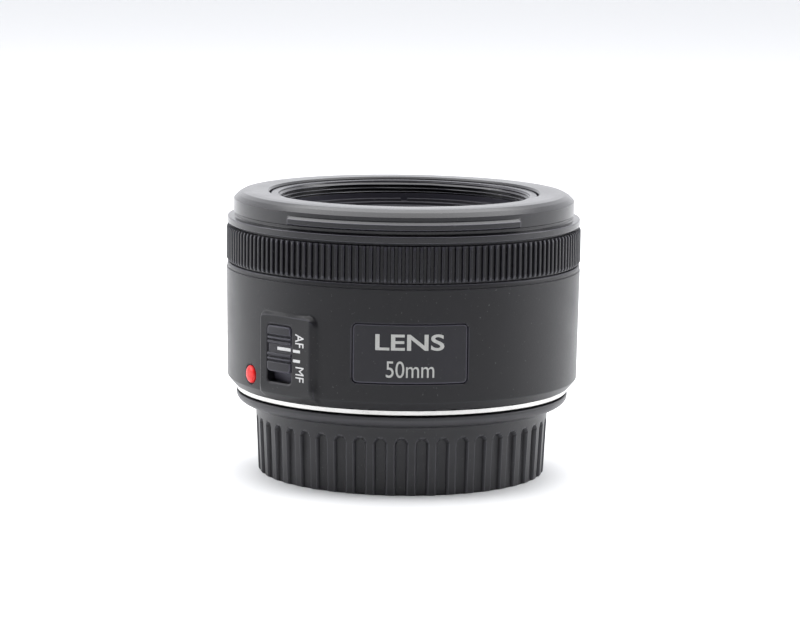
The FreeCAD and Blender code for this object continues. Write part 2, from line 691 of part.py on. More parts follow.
def make_ring_carrier():
    """The fixed sleeve inside the barrel that carries the focus ring and the front cover."""
    top, bore = dim("carrier_top"), dim("carrier_bore_radius")
    body = turned("ring_carrier", [
        (bore, dim("frame_floor_top")),
        (dim("carrier_radius"), dim("frame_floor_top")),
        (dim("carrier_radius"), top),
        (27.9, top),
        (27.9, top - 1.4),
        (bore, top - 1.4),
    ])
    for bearing in screw_bearings("carrier_screw_bearing", 3):
        centre = at_bearing(mm("carrier_screw_circle"), bearing, 0)
        sketch = sketch_on(body, "XY_Plane", dim("frame_floor_top"))
        add_circle(sketch, centre.x, centre.y, 1.5)
        along(body, "Pad", sketch, 4.5)
        sketch = sketch_on(body, "XY_Plane", dim("frame_floor_top"))
        add_circle(sketch, centre.x, centre.y, 0.69)
        along(body, "Pocket", sketch, 3.6, reverse=True)
    sketch = sketch_on(body, "XY_Plane", top)
    add_circle(sketch, 0, -dim("cover_screw_circle"), 0.8)
    around(body, along(body, "Pocket", sketch, 1.5), dim("cover_screw_count"))


def screw_bearings(alias, count):
    """Evenly spaced bearings that start at one from the sheet."""
    return [mm(alias) + 360 * i / count for i in range(count)]


# ---------------------------------------------------------------- switch


def make_switch_knob():
    """The sliding AF/MF knob with its finger grooves."""
    body = new_body("switch_knob")
    bearing = dim("pad_bearing")
    half, low, high = dim("knob_half_width"), dim("knob_low"), dim("knob_high")
    inner = dim("barrel_bore_radius") - 0.38
    sketch = sketch_on(body, "XZ_Plane", inner, bearing)
    add_outline(sketch, box_outline(-half, half, low, high))
    along(body, "Pad", sketch, dim("knob_face") - inner)
    rounded(body, lambda edge, point: is_switch_corner("knob", point), dim("knob_round"))
    middle = (low + high) / 2 + 0.1
    groove, recess = (0.2, 0.3), (0.95, 0.25)
    for height, (tall, depth) in ((2.35, groove), (1.6, groove), (-1.6, groove), (-2.35, groove), (0, recess)):
        sketch = sketch_on(body, "XZ_Plane", dim("knob_face"), bearing)
        centre = middle + height
        add_outline(sketch, box_outline(-half - 1, half + 1, centre - tall, centre + tall))
        along(body, "Pocket", sketch, depth)


def make_switch_slider():
    """The flat slider behind the slot, which carries the knob and closes the slot."""
    body = new_body("switch_slider")
    inner = dim("barrel_bore_radius") - 0.95
    sketch = sketch_on(body, "XZ_Plane", inner, dim("pad_bearing"))
    add_outline(sketch, box_outline(-4.2, 4.2, 20.75, 34.0))
    along(body, "Pad", sketch, 0.55)


def make_switch_board():
    """The contact board on the carrier that the slider wipes."""
    bearing, bore = mm("pad_bearing"), mm("carrier_radius") + 0.02
    plain("switch_board", arc_block(bore, bore + 0.23, bearing - 8, bearing + 8, 22, 33))


# ---------------------------------------------------------------- fixed insides


def make_main_frame():
    """The chassis: a floor plate behind the mount and the guide tube with three straight slots."""
    bore = dim("tube_radius") + dim("running_gap")
    floor_low, floor_top = dim("barrel_floor_top"), dim("frame_floor_top")
    body = turned("main_frame", [
        (bore, floor_low),
        (dim("frame_radius"), floor_low),
        (dim("frame_radius"), floor_top),
        (dim("guide_radius"), floor_top),
        (dim("guide_radius"), dim("guide_top")),
        (bore, dim("guide_top")),
    ])
    half = dim("follower_radius") + 0.05
    low = dim("follower_height")
    sketch = sketch_on(body, "XZ_Plane", dim("guide_radius") + 2, dim("follower_bearing"))
    add_outline(sketch, box_outline(-half, half, low - half, low + dim("focus_travel") + half))
    around(body, along(body, "Pocket", sketch, 5), 3)
    sketch = sketch_on(body, "XY_Plane", floor_top)
    add_circle(sketch, 0, -dim("mount_screw_circle"), 0.88)
    around(body, along(body, "Pocket", sketch, 2.0), dim("mount_screw_count"))
    for bearing in screw_bearings("carrier_screw_bearing", 3):
        centre = at_bearing(mm("carrier_screw_circle"), bearing, 0)
        for radius, lift, depth in ((0.8, floor_top, 2.0), (1.4, floor_low + 0.7, 0.7)):
            sketch = sketch_on(body, "XY_Plane", lift)
            add_circle(sketch, centre.x, centre.y, radius)
            along(body, "Pocket", sketch, depth)
    small_holes = [(idler_centre(), 0.7), *((centre, 1.2) for centre in board_screw_centres())]
    for centre, depth in small_holes:
        sketch = sketch_on(body, "XY_Plane", floor_top)
        add_circle(sketch, centre.x, centre.y, 0.52)
        along(body, "Pocket", sketch, depth)


def idler_centre():
    """Axis of the reduction gear, at the pitch distance from the cam ring's sector."""
    reach = (mm("sector_teeth") + mm("idler_teeth")) * mm("focus_module") / 2
    return at_bearing(reach, mm("idler_bearing"), 0)


def motor_centre():
    """Axis of the focus motor, at the same radius as the reduction gear and in mesh with it."""
    reach = idler_centre().Length
    apart = (mm("wheel_teeth") + mm("pinion_teeth")) * mm("wheel_module") / 2
    turn = 2 * math.degrees(math.asin(apart / 2 / reach))
    return at_bearing(reach, mm("idler_bearing") + turn, 0)


def board_screw_centres():
    """Axes of the two screws that hold the main board."""
    return [at_bearing(27.2, bearing, 0) for bearing in (20, 250)]


def bearing_of(vector):
    """Bearing of a vector, in degrees."""
    return math.degrees(math.atan2(vector.x, -vector.y))


def make_rear_shroud():
    """The black light shroud inside the mount, round the rear cell."""
    body = turned("rear_shroud", [
        (15.2, 11.6),
        (dim("mount_throat_radius") - 0.1, 11.6),
        (dim("mount_throat_radius") - 0.1, 18.5),
        (22.4, 18.5),
        (22.4, 12.8),
        (16.0, 12.8),
        (15.2, 12.2),
    ])
    for bearing in (60, 240):
        sketch = sketch_on(body, "XZ_Plane", dim("mount_throat_radius") + 1, Size(bearing, f"{bearing}"))
        add_circle(sketch, 0, 14.9, 0.47)
        along(body, "Pocket", sketch, 3)


def make_contacts():
    """The contact block behind the shroud and its row of gold pins."""
    middle, step, count = 124, 8, 8
    block = arc_block(19.4, 22.4, middle - 33, middle + 33, 10.4, 11.6)
    bearings = [middle + step * (i - (count - 1) / 2) for i in range(count)]
    spots = [at_bearing(20.9, bearing, 0) for bearing in bearings]
    for spot in spots:
        block = block.cut(rod(0.64, 10, 12, spot))
    plain("contact_block", block)
    plain("contact_pins", Part.makeCompound([rod(0.6, 10.15, 11.6, spot) for spot in spots]))


def barrel_screw_points():
    """Where the identical screws that hold the carrier and the front cover are driven in."""
    bearings = screw_bearings("carrier_screw_bearing", 3)
    low, high = mm("barrel_floor_top") + 0.7, mm("carrier_top") - 1.4
    carrier = [at_bearing(mm("carrier_screw_circle"), bearing, low) for bearing in bearings]
    return carrier + [at_bearing(mm("cover_screw_circle"), 120 * i, high) for i in range(3)]


def make_screws():
    """The fasteners, each set as one group of separate screws."""
    seat = mm("seat_height")
    floor = mm("frame_floor_top")
    barrel_screw = (1.3, 0.6, 0.66, 4.4)
    sets = {
        "mount_screws": [((1.6, 0.48, 0.85, 3.6), at_bearing(mm("mount_screw_circle"), b, seat + 0.55), UP)
                         for b in (0, 90, 180, 270)],
        "barrel_screws": [(barrel_screw, point, UP) for point in barrel_screw_points()],
        "board_screws": [((1.0, 0.5, 0.48, 1.9), centre + V(0, 0, floor + 0.8), -UP)
                         for centre in board_screw_centres()],
        "shroud_screws": [((0.7, 0.75, 0.44, 1.5), at_bearing(24.4, b, 14.9), -at_bearing(1, b, 0))
                          for b in (60, 240)],
    }
    for name, screws in sets.items():
        plain(name, Part.makeCompound([screw(*sizes, point, axis) for sizes, point, axis in screws]))


def make_main_board():
    """The ring-shaped circuit board on the chassis floor, and the parts soldered to it."""
    low = mm("frame_floor_top")
    high = low + 0.8
    board = arc_block(mm("cam_radius") + 0.3, mm("carrier_bore_radius") - 0.2, -182, 134, low, high)
    for bearing in screw_bearings("carrier_screw_bearing", 3):
        board = board.cut(rod(1.6, low - 1, high + 1, at_bearing(mm("carrier_screw_circle"), bearing, 0)))
    for centre in board_screw_centres():
        board = board.cut(rod(0.55, low - 1, high + 1, centre))
    plain("main_board", board)
    chips = []
    for bearing, wide, deep, tall in ((0, 4.6, 4.6, 0.9), (52, 3.6, 3.6, 0.8), (105, 2.4, 3.0, 0.9),
                                      (-18, 6.5, 2.6, 1.3), (-75, 1.6, 2.0, 0.7), (-140, 3.0, 3.0, 0.8)):
        chip = Part.makeBox(wide, deep, tall, V(-wide / 2, -27.2 - deep / 2, high))
        chips.append(chip.rotated(V(0, 0, 0), UP, bearing))
    plain("board_chips", Part.makeCompound(chips))


def make_focus_drive():
    """The focus motor with its pinion, the reduction gear on its axle, and the bracket that holds them."""
    idler, motor = idler_centre(), motor_centre()
    reach = bearing_of(idler)
    low_plate = arc_block(24.2, 30.3, reach - 11, reach + 20, 24.0, 24.7)
    top_plate = arc_block(24.2, 30.3, reach - 11, reach + 6, 39.6, 40.4)
    web = arc_block(26.0, 30.3, reach - 11, reach - 8, mm("frame_floor_top"), 40.4)
    bracket = low_plate.fuse([top_plate, web]).removeSplitter()
    holes = [rod(1.0, 23, 25, idler), rod(0.7, 23, 25, motor), rod(0.52, 39, 41, idler)]
    plain("gear_bracket", bracket.cut(holes))
    plain("gear_axle", rod(0.5, mm("frame_floor_top") - 0.65, 40.4, idler))
    sector_gap = bearing_of(-idler) + 180 / mm("idler_teeth")
    wheel_phase = bearing_of(motor - idler)
    pinion_phase = wheel_phase + 180 + 180 / mm("pinion_teeth")
    small = gear(int(mm("idler_teeth")), mm("focus_module"), sector_gap, 36.2, 39.0, idler)
    wheel = gear(int(mm("wheel_teeth")), mm("wheel_module"), wheel_phase, 22.5, 23.5, idler)
    hub = rod(0.9, mm("frame_floor_top") + 0.1, 39.5, idler)
    cluster = small.fuse([wheel, hub]).removeSplitter().cut(rod(0.56, 20, 40, idler))
    plain("reduction_gear", cluster)
    pinion = gear(int(mm("pinion_teeth")), mm("wheel_module"), pinion_phase, 22.4, 23.6, motor)
    plain("motor_pinion", pinion.fuse(rod(0.44, 22.4, 26.2, motor)).removeSplitter())
    can = rod(mm("motor_radius"), 24.7, 33.7, motor).fuse(rod(1.2, 33.7, 34.2, motor))
    plain("focus_motor", can.removeSplitter().cut(rod(0.5, 24, 26.6, motor)))


def make_cam_ring():
    """The cam ring: three helical slots drive the followers, and a toothed sector takes the motor's turn."""
    bore = mm("guide_radius") + mm("running_gap")
    radius, low = mm("cam_radius"), mm("frame_floor_top") + 0.05
    ring = tube(bore, radius, low, mm("cam_top"))
    step = 360 / mm("sector_teeth")
    count = int(round(mm("cam_arc") / step)) + 6
    first = mm("idler_bearing") - 2 * step
    sector = gear_face(int(mm("sector_teeth")), mm("focus_module"), first, count, bore + 0.6)
    sector = sector.extrude(V(0, 0, mm("sector_high") - mm("sector_low")))
    sector.translate(V(0, 0, mm("sector_low")))
    ring = ring.fuse(sector).removeSplitter()
    cuts = []
    for turn in range(3):
        cuts += cam_slot(mm("follower_bearing") + 120 * turn)
    plain("cam_ring", ring.cut(cuts))


def cam_slot(bearing):
    """Cutters of one helical slot that starts at a bearing and climbs by the focus travel."""
    travel, arc = mm("focus_travel"), mm("cam_arc")
    middle = (mm("guide_radius") + mm("cam_radius")) / 2
    slope = math.atan2(travel, math.radians(arc) * middle)
    half = (mm("follower_radius") + 0.06)
    tall = half / math.cos(slope)
    helix = Part.makeHelix(travel * 360 / arc, travel, middle)
    corners = [V(middle + x, 0, z) for x, z in ((-3, -tall), (3, -tall), (3, tall), (-3, tall))]
    profile = Part.makePolygon([*corners, corners[0]])
    sweep = Part.Wire(helix.Edges).makePipeShell([profile], True, True)
    sweep.rotate(V(0, 0, 0), UP, bearing - 90)
    sweep.translate(V(0, 0, mm("follower_height")))
    ends = []
    for turn, climb in ((0, 0), (arc, travel)):
        point = at_bearing(middle - 3, bearing + turn, mm("follower_height") + climb)
        ends.append(Part.makeCylinder(half, 6, point, at_bearing(1, bearing + turn, 0)))
    return [Part.Solid(sweep) if sweep.ShapeType != "Solid" else sweep, *ends]


def make_small_rings():
    """Plain turned rings: the washer, the dust seal, the cam retainer and the ring sensor's block."""
    carrier = dim("carrier_radius")
    turned("ring_washer", box_outline(carrier + 0.3, carrier + 1.8, dim("ring_high") + 0.06,
                                      dim("cover_collar_low") - 0.04))
    seal_top = dim("cover_collar_low") + 0.3
    turned("dust_seal", box_outline(dim("skirt_radius") + dim("running_gap"), dim("cover_bore_radius") + 1.2,
                                    seal_top - 0.75, seal_top))
    turned("cam_retainer", box_outline(dim("guide_radius") + 0.05, dim("cam_radius") - 0.2,
                                       dim("cam_top") + 0.06, dim("cam_top") + 0.5))
    sensor = arc_block(mm("carrier_radius") + 0.02, mm("encoder_radius") + 0.2, 96, 104, 34.5, 38.2)
    plain("ring_sensor", sensor)


# ---------------------------------------------------------------- moving optical unit


def make_inner_barrel():
    """The barrel that extends to focus: filter thread and skirt outside, lens tube inside."""
    top, tube_bore = dim("inner_top"), dim("tube_bore_radius")
    filter_bore = dim("filter_radius")
    body = turned("inner_barrel", [
        (tube_bore, dim("tube_low")),
        (dim("tube_radius"), dim("tube_low")),
        (dim("tube_radius"), dim("web_low")),
        (dim("skirt_bore_radius"), dim("web_low")),
        (dim("skirt_bore_radius"), dim("skirt_low")),
        (dim("skirt_radius"), dim("skirt_low")),
        (dim("skirt_radius"), top - 0.3),
        (dim("skirt_radius") - 0.3, top),
        (filter_bore + 0.3, top),
        (filter_bore, top - 0.3),
        (filter_bore, dim("filter_low")),
        (dim("trim_radius") + 0.05, dim("filter_low")),
        (dim("trim_radius") + 0.05, dim("web_top")),
        (tube_bore, dim("web_top")),
        (tube_bore, 38.5),
        (tube_bore - 1.0, 38.5),
        (tube_bore - 1.0, 37.5),
        (tube_bore, 37.5),
        (tube_bore, 31.3),
        (tube_bore - 0.8, 31.3),
        (tube_bore - 0.8, 30.35),
        (tube_bore, 30.35),
    ])
    sketch = sketch_on(body, "XZ_Plane", dim("tube_radius") + 1, dim("follower_bearing"))
    add_circle(sketch, 0, dim("follower_height"), dim("follower_radius") + 0.02)
    around(body, along(body, "Pocket", sketch, 4), 3)


def make_follower_pins():
    """The three rollers on the inner barrel that run in the guide slots and the cam slots."""
    pins = []
    for turn in range(3):
        bearing = mm("follower_bearing") + 120 * turn
        start = at_bearing(mm("tube_bore_radius") + 0.1, bearing, mm("follower_height"))
        length = mm("cam_radius") - mm("tube_bore_radius") - 0.25
        pins.append(Part.makeCylinder(mm("follower_radius"), length, start, at_bearing(1, bearing, 0)))
    plain("follower_pins", Part.makeCompound(pins))


def make_trim_ring():
    """The stepped baffle ring in front of the glass, with two notches for the wrench."""
    radius, top = dim("trim_radius"), dim("filter_low") - 0.95
    body = turned("trim_ring", [
        (15.6, 46.3),
        (22.4, 48.6),
        (22.4, dim("web_top") + 0.05),
        (radius, dim("web_top") + 0.05),
        (radius, top),
        (22.9, top),
        (22.9, top - 0.55),
        (21.5, top - 0.55),
        (21.5, top - 1.1),
        (19.8, top - 1.1),
        (19.8, top - 1.65),
        (18.1, top - 1.65),
        (18.1, top - 2.2),
        (16.6, top - 2.2),
        (15.6, top - 3.2),
    ])
    sketch = sketch_on(body, "XZ_Plane", radius + 1, Size(0, "0"))
    add_outline(sketch, box_outline(-0.7, 0.7, top - 0.5, top + 1))
    around(body, along(body, "Pocket", sketch, 3), 2)


def make_front_group():
    """The front cell with its spacers and retaining ring."""
    outer = dim("tube_bore_radius") - 0.05
    turned("front_cell", [
        (10.0, 31.2),
        (12.9, 31.2),
        (12.9, 34.2),
        (14.4, 34.2),
        (14.4, 38.5),
        (outer, 38.5),
        (outer, dim("web_top")),
        (16.45, dim("web_top")),
        (16.45, 44.58),
        (15.45, 44.58),
        (15.45, 42.58),
        (13.45, 42.58),
        (13.45, 35.2),
        (11.85, 35.2),
        (11.85, 32.18),
        (10.0, 32.18),
    ])
    turned("front_retainer", [(14.6, 44.6), (16.4, 44.6), (16.4, 45.95), (15.5, 45.95)])
    turned("spacer_tube", box_outline(12.9, 13.4, 38.97, 42.66))
    turned("spacer_ring", box_outline(11.9, 13.4, 35.22, 35.5))


def make_rear_group():
    """The rear cell with its spacer and retaining ring."""
    outer = dim("tube_bore_radius") - 0.05
    turned("rear_cell", [
        (10.25, 20.88),
        (12.05, 20.88),
        (12.05, 14.46),
        (13.45, 14.46),
        (13.45, 11.3),
        (14.6, 11.3),
        (14.6, dim("tube_low")),
        (outer, dim("tube_low")),
        (outer, 26.85),
        (18.9, 26.85),
        (18.9, 23.4),
        (11.4, 23.4),
        (11.4, 26.3),
        (10.25, 26.3),
    ])
    turned("doublet_spacer", box_outline(11.3, 12.0, 14.55, 17.86))
    turned("rear_retainer", box_outline(12.6, 13.4, 11.3, 12.95))


def bind(thing, path, size):
    """Drive one property of an object from the sheet."""
    thing.setExpression(path, size.text)


def ball(name, radius, height):
    """A Part sphere on the axis."""
    sphere = doc.addObject("Part::Sphere", name)
    bind(sphere, "Radius", radius)
    bind(sphere, "Placement.Base.z", height)
    return sphere


def combined(kind, name, base, tool):
    """A Part boolean of two objects."""
    result = doc.addObject(f"Part::{kind}", name)
    result.Base = base
    result.Tool = tool
    return result


def make_element(name):
    """One spherical lens element: a disc trimmed by a sphere on each side."""
    size = {column: dim(f"{name}_{column}") for column in ELEMENT_COLUMNS}
    shape = doc.addObject("Part::Cylinder", f"{name}_disc")
    bind(shape, "Radius", size["rim"])
    bind(shape, "Height", size["high"] - size["low"])
    bind(shape, "Placement.Base.z", size["low"])
    for side in ("front", "rear"):
        curve = size[f"{side}_curve"]
        towards_camera = curve.value > 0
        sphere = ball(f"{name}_{side}", curve if towards_camera else -curve, size[side] - curve)
        kind = "Common" if towards_camera == (side == "front") else "Cut"
        shape = combined(kind, f"{name}_{side}_cut", shape, sphere)
    keep(shape, name)


# ---------------------------------------------------------------- iris


def make_aperture_unit():
    """The iris: housing, cover, drive ring with its toothed collar, motor, pinion and the blades."""
    count = int(mm("blade_count"))
    floor_low, floor_high, wall_top = 26.9, 27.55, 29.45
    outer = mm("tube_bore_radius") - 0.1
    housing = tube(mm("blade_inner") + 0.2, outer, floor_low, floor_high)
    housing = housing.fuse(tube(19.05, outer, floor_high, wall_top)).removeSplitter()
    pins = [at_bearing(mm("pivot_circle"), 360 * i / count, 0) for i in range(count)]
    hole = mm("iris_pin_radius") + 0.05
    plain("aperture_housing", housing.cut([rod(hole, 26, 28, pin) for pin in pins]))
    turned("aperture_cover", box_outline(14.1, outer, 29.5, 30.3))
    make_drive_ring(count, hole)
    motor = iris_motor_centre()
    phase = bearing_of(-motor) + 180 / mm("iris_pinion_teeth")
    pinion = gear(int(mm("iris_pinion_teeth")), mm("iris_module"), phase, 30.6, 32.0, motor)
    plain("aperture_pinion", pinion.fuse(rod(0.44, 30.6, 33.8, motor)).removeSplitter())
    plain("aperture_motor", rod(1.8, 32.4, 38.45, motor).cut(rod(0.5, 32, 34.2, motor)))
    for i in range(count):
        make_blade(i, 360 * i / count)


def iris_motor_centre():
    """Axis of the iris motor, at the pitch distance from the drive ring's teeth."""
    reach = (mm("iris_ring_teeth") + mm("iris_pinion_teeth")) * mm("iris_module") / 2
    return at_bearing(reach, mm("iris_motor_bearing"), 0)


def make_drive_ring(count, hole):
    """The ring whose slanted slots swing the blades."""
    ring = tube(mm("blade_inner") + 0.3, 18.85, 28.75, 29.35).fuse(tube(13.0, 13.5, 29.35, 32.0))
    step = 360 / mm("iris_ring_teeth")
    first = mm("iris_motor_bearing") - 7 * step
    sector = gear_face(int(mm("iris_ring_teeth")), mm("iris_module"), first, 10, 13.2)
    sector = sector.extrude(V(0, 0, 1.4))
    sector.translate(V(0, 0, 30.6))
    cuts = []
    for i in range(count):
        path = [slot_point(share / 6).add(V(0, 0, 28)) for share in range(7)]
        for a, b in zip(path, path[1:]):
            cuts += [rod(hole, 28, 30, a), capsule_box(a, b, hole), rod(hole, 28, 30, b)]
        for cut in cuts[-18:]:
            cut.rotate(V(0, 0, 0), UP, 360 * i / count)
    plain("aperture_ring", ring.fuse(sector).removeSplitter().cut(cuts))


def slot_point(share):
    """Where a drive pin stands in the drive ring's own frame after a share of the full swing."""
    pivot = at_bearing(mm("pivot_circle"), 0, 0)
    pin = at_bearing(mm("pivot_circle"), mm("drive_angle"), 0)
    swing = FreeCAD.Rotation(UP, mm("blade_swing") * share)
    moved = pivot + swing.multVec(pin - pivot)
    return FreeCAD.Rotation(UP, -mm("ring_swing") * share).multVec(moved)


def capsule_box(a, b, half):
    """The straight stretch of a slot between two of its points."""
    box = Part.makeBox((b - a).Length, 2 * half, 2, V(0, -half, 0))
    box.rotate(V(0, 0, 0), UP, math.degrees(math.atan2((b - a).y, (b - a).x)))
    box.translate(V(a.x, a.y, 28))
    return box


def make_blade(number, bearing):
    """One iris blade at rest, wide open, with its pivot pin below and its drive pin above."""
    low = mm("blade_low") + number * mm("blade_pitch")
    high = low + mm("blade_thick")
    blade = arc_block(mm("blade_inner"), mm("blade_outer"), -3, 125, low, high)
    ear = arc_block(mm("blade_outer") - 0.5, 18.4, -3, 18, low, high)
    radius = mm("iris_pin_radius")
    pivot = rod(radius, 26.95, low, at_bearing(mm("pivot_circle"), 0, 0))
    pin = rod(radius, high, 29.3, at_bearing(mm("pivot_circle"), mm("drive_angle"), 0))
    blade = blade.fuse([ear, pivot, pin]).removeSplitter()
    blade.rotate(V(0, 0, 0), UP, bearing)
    plain(f"iris_blade_{number + 1}", blade)


# ---------------------------------------------------------------- assembly


def check_everything():
    """Stop if an object failed, a cut missed its solid, or a sub-part isn't a sound shape."""
    failed = [o.Name for o in doc.Objects if "Invalid" in o.State or "Error" in o.State]
    if failed:
        raise RuntimeError(f"failed objects: {failed}")
    for made in doc.Objects:
        base = getattr(made, "BaseFeature", None)
        if made.TypeId == "PartDesign::Pocket" and base is not None:
            if base.Shape.Volume - made.Shape.Volume < 1e-4:
                raise RuntimeError(f"{made.Name} cut nothing")
    unsound = [node.Label for node in NODES if node.Shape.isNull() or not node.Shape.isValid()]
    if unsound:
        raise RuntimeError(f"not valid shapes: {unsound}")


def main():
    """Build every sub-part, check it and write it."""
    make_rear_cap()
    make_bayonet_mount()
    make_outer_barrel()
    make_name_plate()
    make_index_dot()
    make_front_cover()
    make_focus_ring()
    make_encoder_ring()
    make_ring_carrier()
    make_switch_knob()
    make_switch_slider()
    make_switch_board()
    make_main_frame()
    make_rear_shroud()
    make_contacts()
    make_screws()
    make_main_board()
    make_focus_drive()
    make_cam_ring()
    make_small_rings()
    make_inner_barrel()
    make_follower_pins()
    make_trim_ring()
    make_front_group()
    make_rear_group()
    for name in ELEMENTS:
        make_element(name)
    make_aperture_unit()
    doc.recompute()
    check_everything()
    os.makedirs("parts", exist_ok=True)
    for node in NODES:
        node.Shape.exportStep(f"parts/{node.Label}.step")
        solids = len(node.Shape.Solids)
        print(f"{node.Label}: {solids} solid(s), {node.Shape.Volume:.1f} mm3")


main()
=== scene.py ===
import json
import math

import bmesh
import bpy
import numpy as np
from mathutils import Matrix, Vector


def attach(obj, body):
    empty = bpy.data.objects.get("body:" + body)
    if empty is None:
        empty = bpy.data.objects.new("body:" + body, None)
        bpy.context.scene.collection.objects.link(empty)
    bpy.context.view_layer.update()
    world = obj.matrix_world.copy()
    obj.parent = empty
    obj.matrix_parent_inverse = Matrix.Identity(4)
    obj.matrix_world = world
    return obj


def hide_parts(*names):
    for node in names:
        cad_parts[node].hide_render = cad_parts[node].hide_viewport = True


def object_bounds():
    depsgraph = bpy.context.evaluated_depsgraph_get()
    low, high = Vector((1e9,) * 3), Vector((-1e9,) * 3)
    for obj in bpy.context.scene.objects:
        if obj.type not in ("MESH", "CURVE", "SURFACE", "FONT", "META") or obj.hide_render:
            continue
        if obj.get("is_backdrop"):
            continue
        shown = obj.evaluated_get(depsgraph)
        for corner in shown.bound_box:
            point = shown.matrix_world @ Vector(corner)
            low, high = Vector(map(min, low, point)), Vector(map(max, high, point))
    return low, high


MM = 0.001
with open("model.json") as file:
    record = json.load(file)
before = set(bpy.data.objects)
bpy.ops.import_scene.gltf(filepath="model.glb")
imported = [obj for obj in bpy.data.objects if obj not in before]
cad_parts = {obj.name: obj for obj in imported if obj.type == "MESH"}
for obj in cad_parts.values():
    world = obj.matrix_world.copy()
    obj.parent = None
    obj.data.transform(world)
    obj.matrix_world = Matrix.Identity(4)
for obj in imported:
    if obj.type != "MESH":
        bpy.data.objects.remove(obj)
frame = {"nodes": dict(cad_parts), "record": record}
CAD_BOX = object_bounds()
NODES = frame["nodes"]

# Sizes of the visible shells, in millimetres. Bearings are in degrees about +Z, from -Y towards +X.
PAD_BEARING = -42.0
PAD_FACE = 34.75
PAD_LEFT, PAD_RIGHT = -5.2, 8.3
PAD_TOP = 34.2
SLOT_HALF, SLOT_LOW, SLOT_HIGH = 3.15, 21.1, 32.1
KNOB_HALF, KNOB_LOW, KNOB_HIGH, KNOB_FACE = 3.05, 23.15, 31.95, 35.0
PLATE_BEARING, PLATE_HALF, PLATE_LOW, PLATE_HIGH, PLATE_FACE = 2.5, 10.9, 22.6, 33.7, 34.36
DOT_BEARING, DOT_HEIGHT, DOT_RADIUS = -57.6, 21.45, 1.7
DOT_SEAT = 34.29
BARREL_LOW, BARREL_RADIUS, BARREL_TOP = 17.2, 34.55, 41.28
SLOT_ROUND = 0.8
KNOB_GROOVES = (30.0, 29.22, 26.0, 25.22)
RIBS, RIB_DEPTH = 160, 0.5
RING_LOW, RING_TOP, RING_RADIUS, RING_BORE = 41.6, 48.3, 34.6, 31.65
COVER_LOW, RIM_RADIUS, RIM_TOP, COVER_BORE = 48.9, 33.2, 54.99, 26.3
LUG_HALF_ARC, LUG_RISE = 41.0, 0.62
FLUTES, FLUTE_TOP, FLUTE_FLOOR = 45, 10.95, 27.5
CAP_RADIUS, CAP_TOP = 32.5, 15.85
TUBE_RADIUS, TUBE_TOP = 26.0, 54.5
THREAD_RADIUS, THREAD_LOW, THREAD_PITCH, THREAD_DEPTH = 24.5, 51.9, 0.75, 0.4
TRIM_RADIUS, TRIM_TOP, TRIM_STEP = 23.85, 50.95, 0.55
TRIM_EDGES = (22.9, 21.5, 19.8, 18.1)


# ---------------------------------------------------------------- materials


class Nodes:
    """A short way to write a material's node tree."""

    def __init__(self, name):
        self.material = bpy.data.materials.new(name)
        self.material.use_nodes = True
        self.tree = self.material.node_tree
        self.tree.nodes.clear()
        self.out = self.add("ShaderNodeOutputMaterial")
        self.shader = self.add("ShaderNodeBsdfPrincipled")
        self.join(self.shader, "BSDF", self.out, "Surface")
        self.place = self.add("ShaderNodeTexCoord")

    def add(self, kind, **values):
        node = self.tree.nodes.new(kind)
        for key, value in values.items():
            setattr(node, key, value)
        return node

    def join(self, a, a_out, b, b_in):
        self.tree.links.new(a.outputs[a_out], b.inputs[b_in])

    def set(self, node, **values):
        for key, value in values.items():
            node.inputs[key.replace("_", " ")].default_value = value
        return node

    def noise(self, scale, detail=4.0, roughness=0.55, stretch=None):
        """Noise of so many cells per metre, stretched along an axis if asked."""
        noise = self.add("ShaderNodeTexNoise")
        self.set(noise, Scale=scale, Detail=detail, Roughness=roughness)
        if stretch:
            mapping = self.add("ShaderNodeMapping")
            mapping.inputs["Scale"].default_value = stretch
            self.join(self.place, "Object", mapping, "Vector")
            self.join(mapping, "Vector", noise, "Vector")
        else:
            self.join(self.place, "Object", noise, "Vector")
        return noise

    def ramp(self, source, output, stops):
        """A colour ramp of (position, grey or colour) stops."""
        ramp = self.add("ShaderNodeValToRGB")
        elements = ramp.color_ramp.elements
        while len(elements) < len(stops):
            elements.new(0.5)
        for element, (position, colour) in zip(elements, stops):
            element.position = position
            element.color = colour if len(colour) == 4 else (*colour, 1)
        self.join(source, output, ramp, "Fac")
        return ramp

    def mix(self, factor, a, b, kind="MIX"):
        """A colour mix; each argument is a (node, output) pair or a constant."""
        mix = self.add("ShaderNodeMix", data_type="RGBA", blend_type=kind)
        for index, source in ((0, factor), (6, a), (7, b)):
            if isinstance(source, tuple) and hasattr(source[0], "outputs"):
                self.tree.links.new(source[0].outputs[source[1]], mix.inputs[index])
            else:
                mix.inputs[index].default_value = source
        return mix, 2

    def bump(self, layers):
        """Bumps laid over one another: (node, output, distance in mm, strength)."""
        last = None
        for node, output, distance, strength in layers:
            bump = self.add("ShaderNodeBump")
            self.set(bump, Distance=distance * MM, Strength=strength)
            self.join(node, output, bump, "Height")
            if last:
                self.join(last, "Normal", bump, "Normal")
            last = bump
        self.join(last, "Normal", self.shader, "Normal")


def grey(value, blue=0.0):
    return (value, value * (1 - 0.15 * blue), value * (1 + blue), 1)


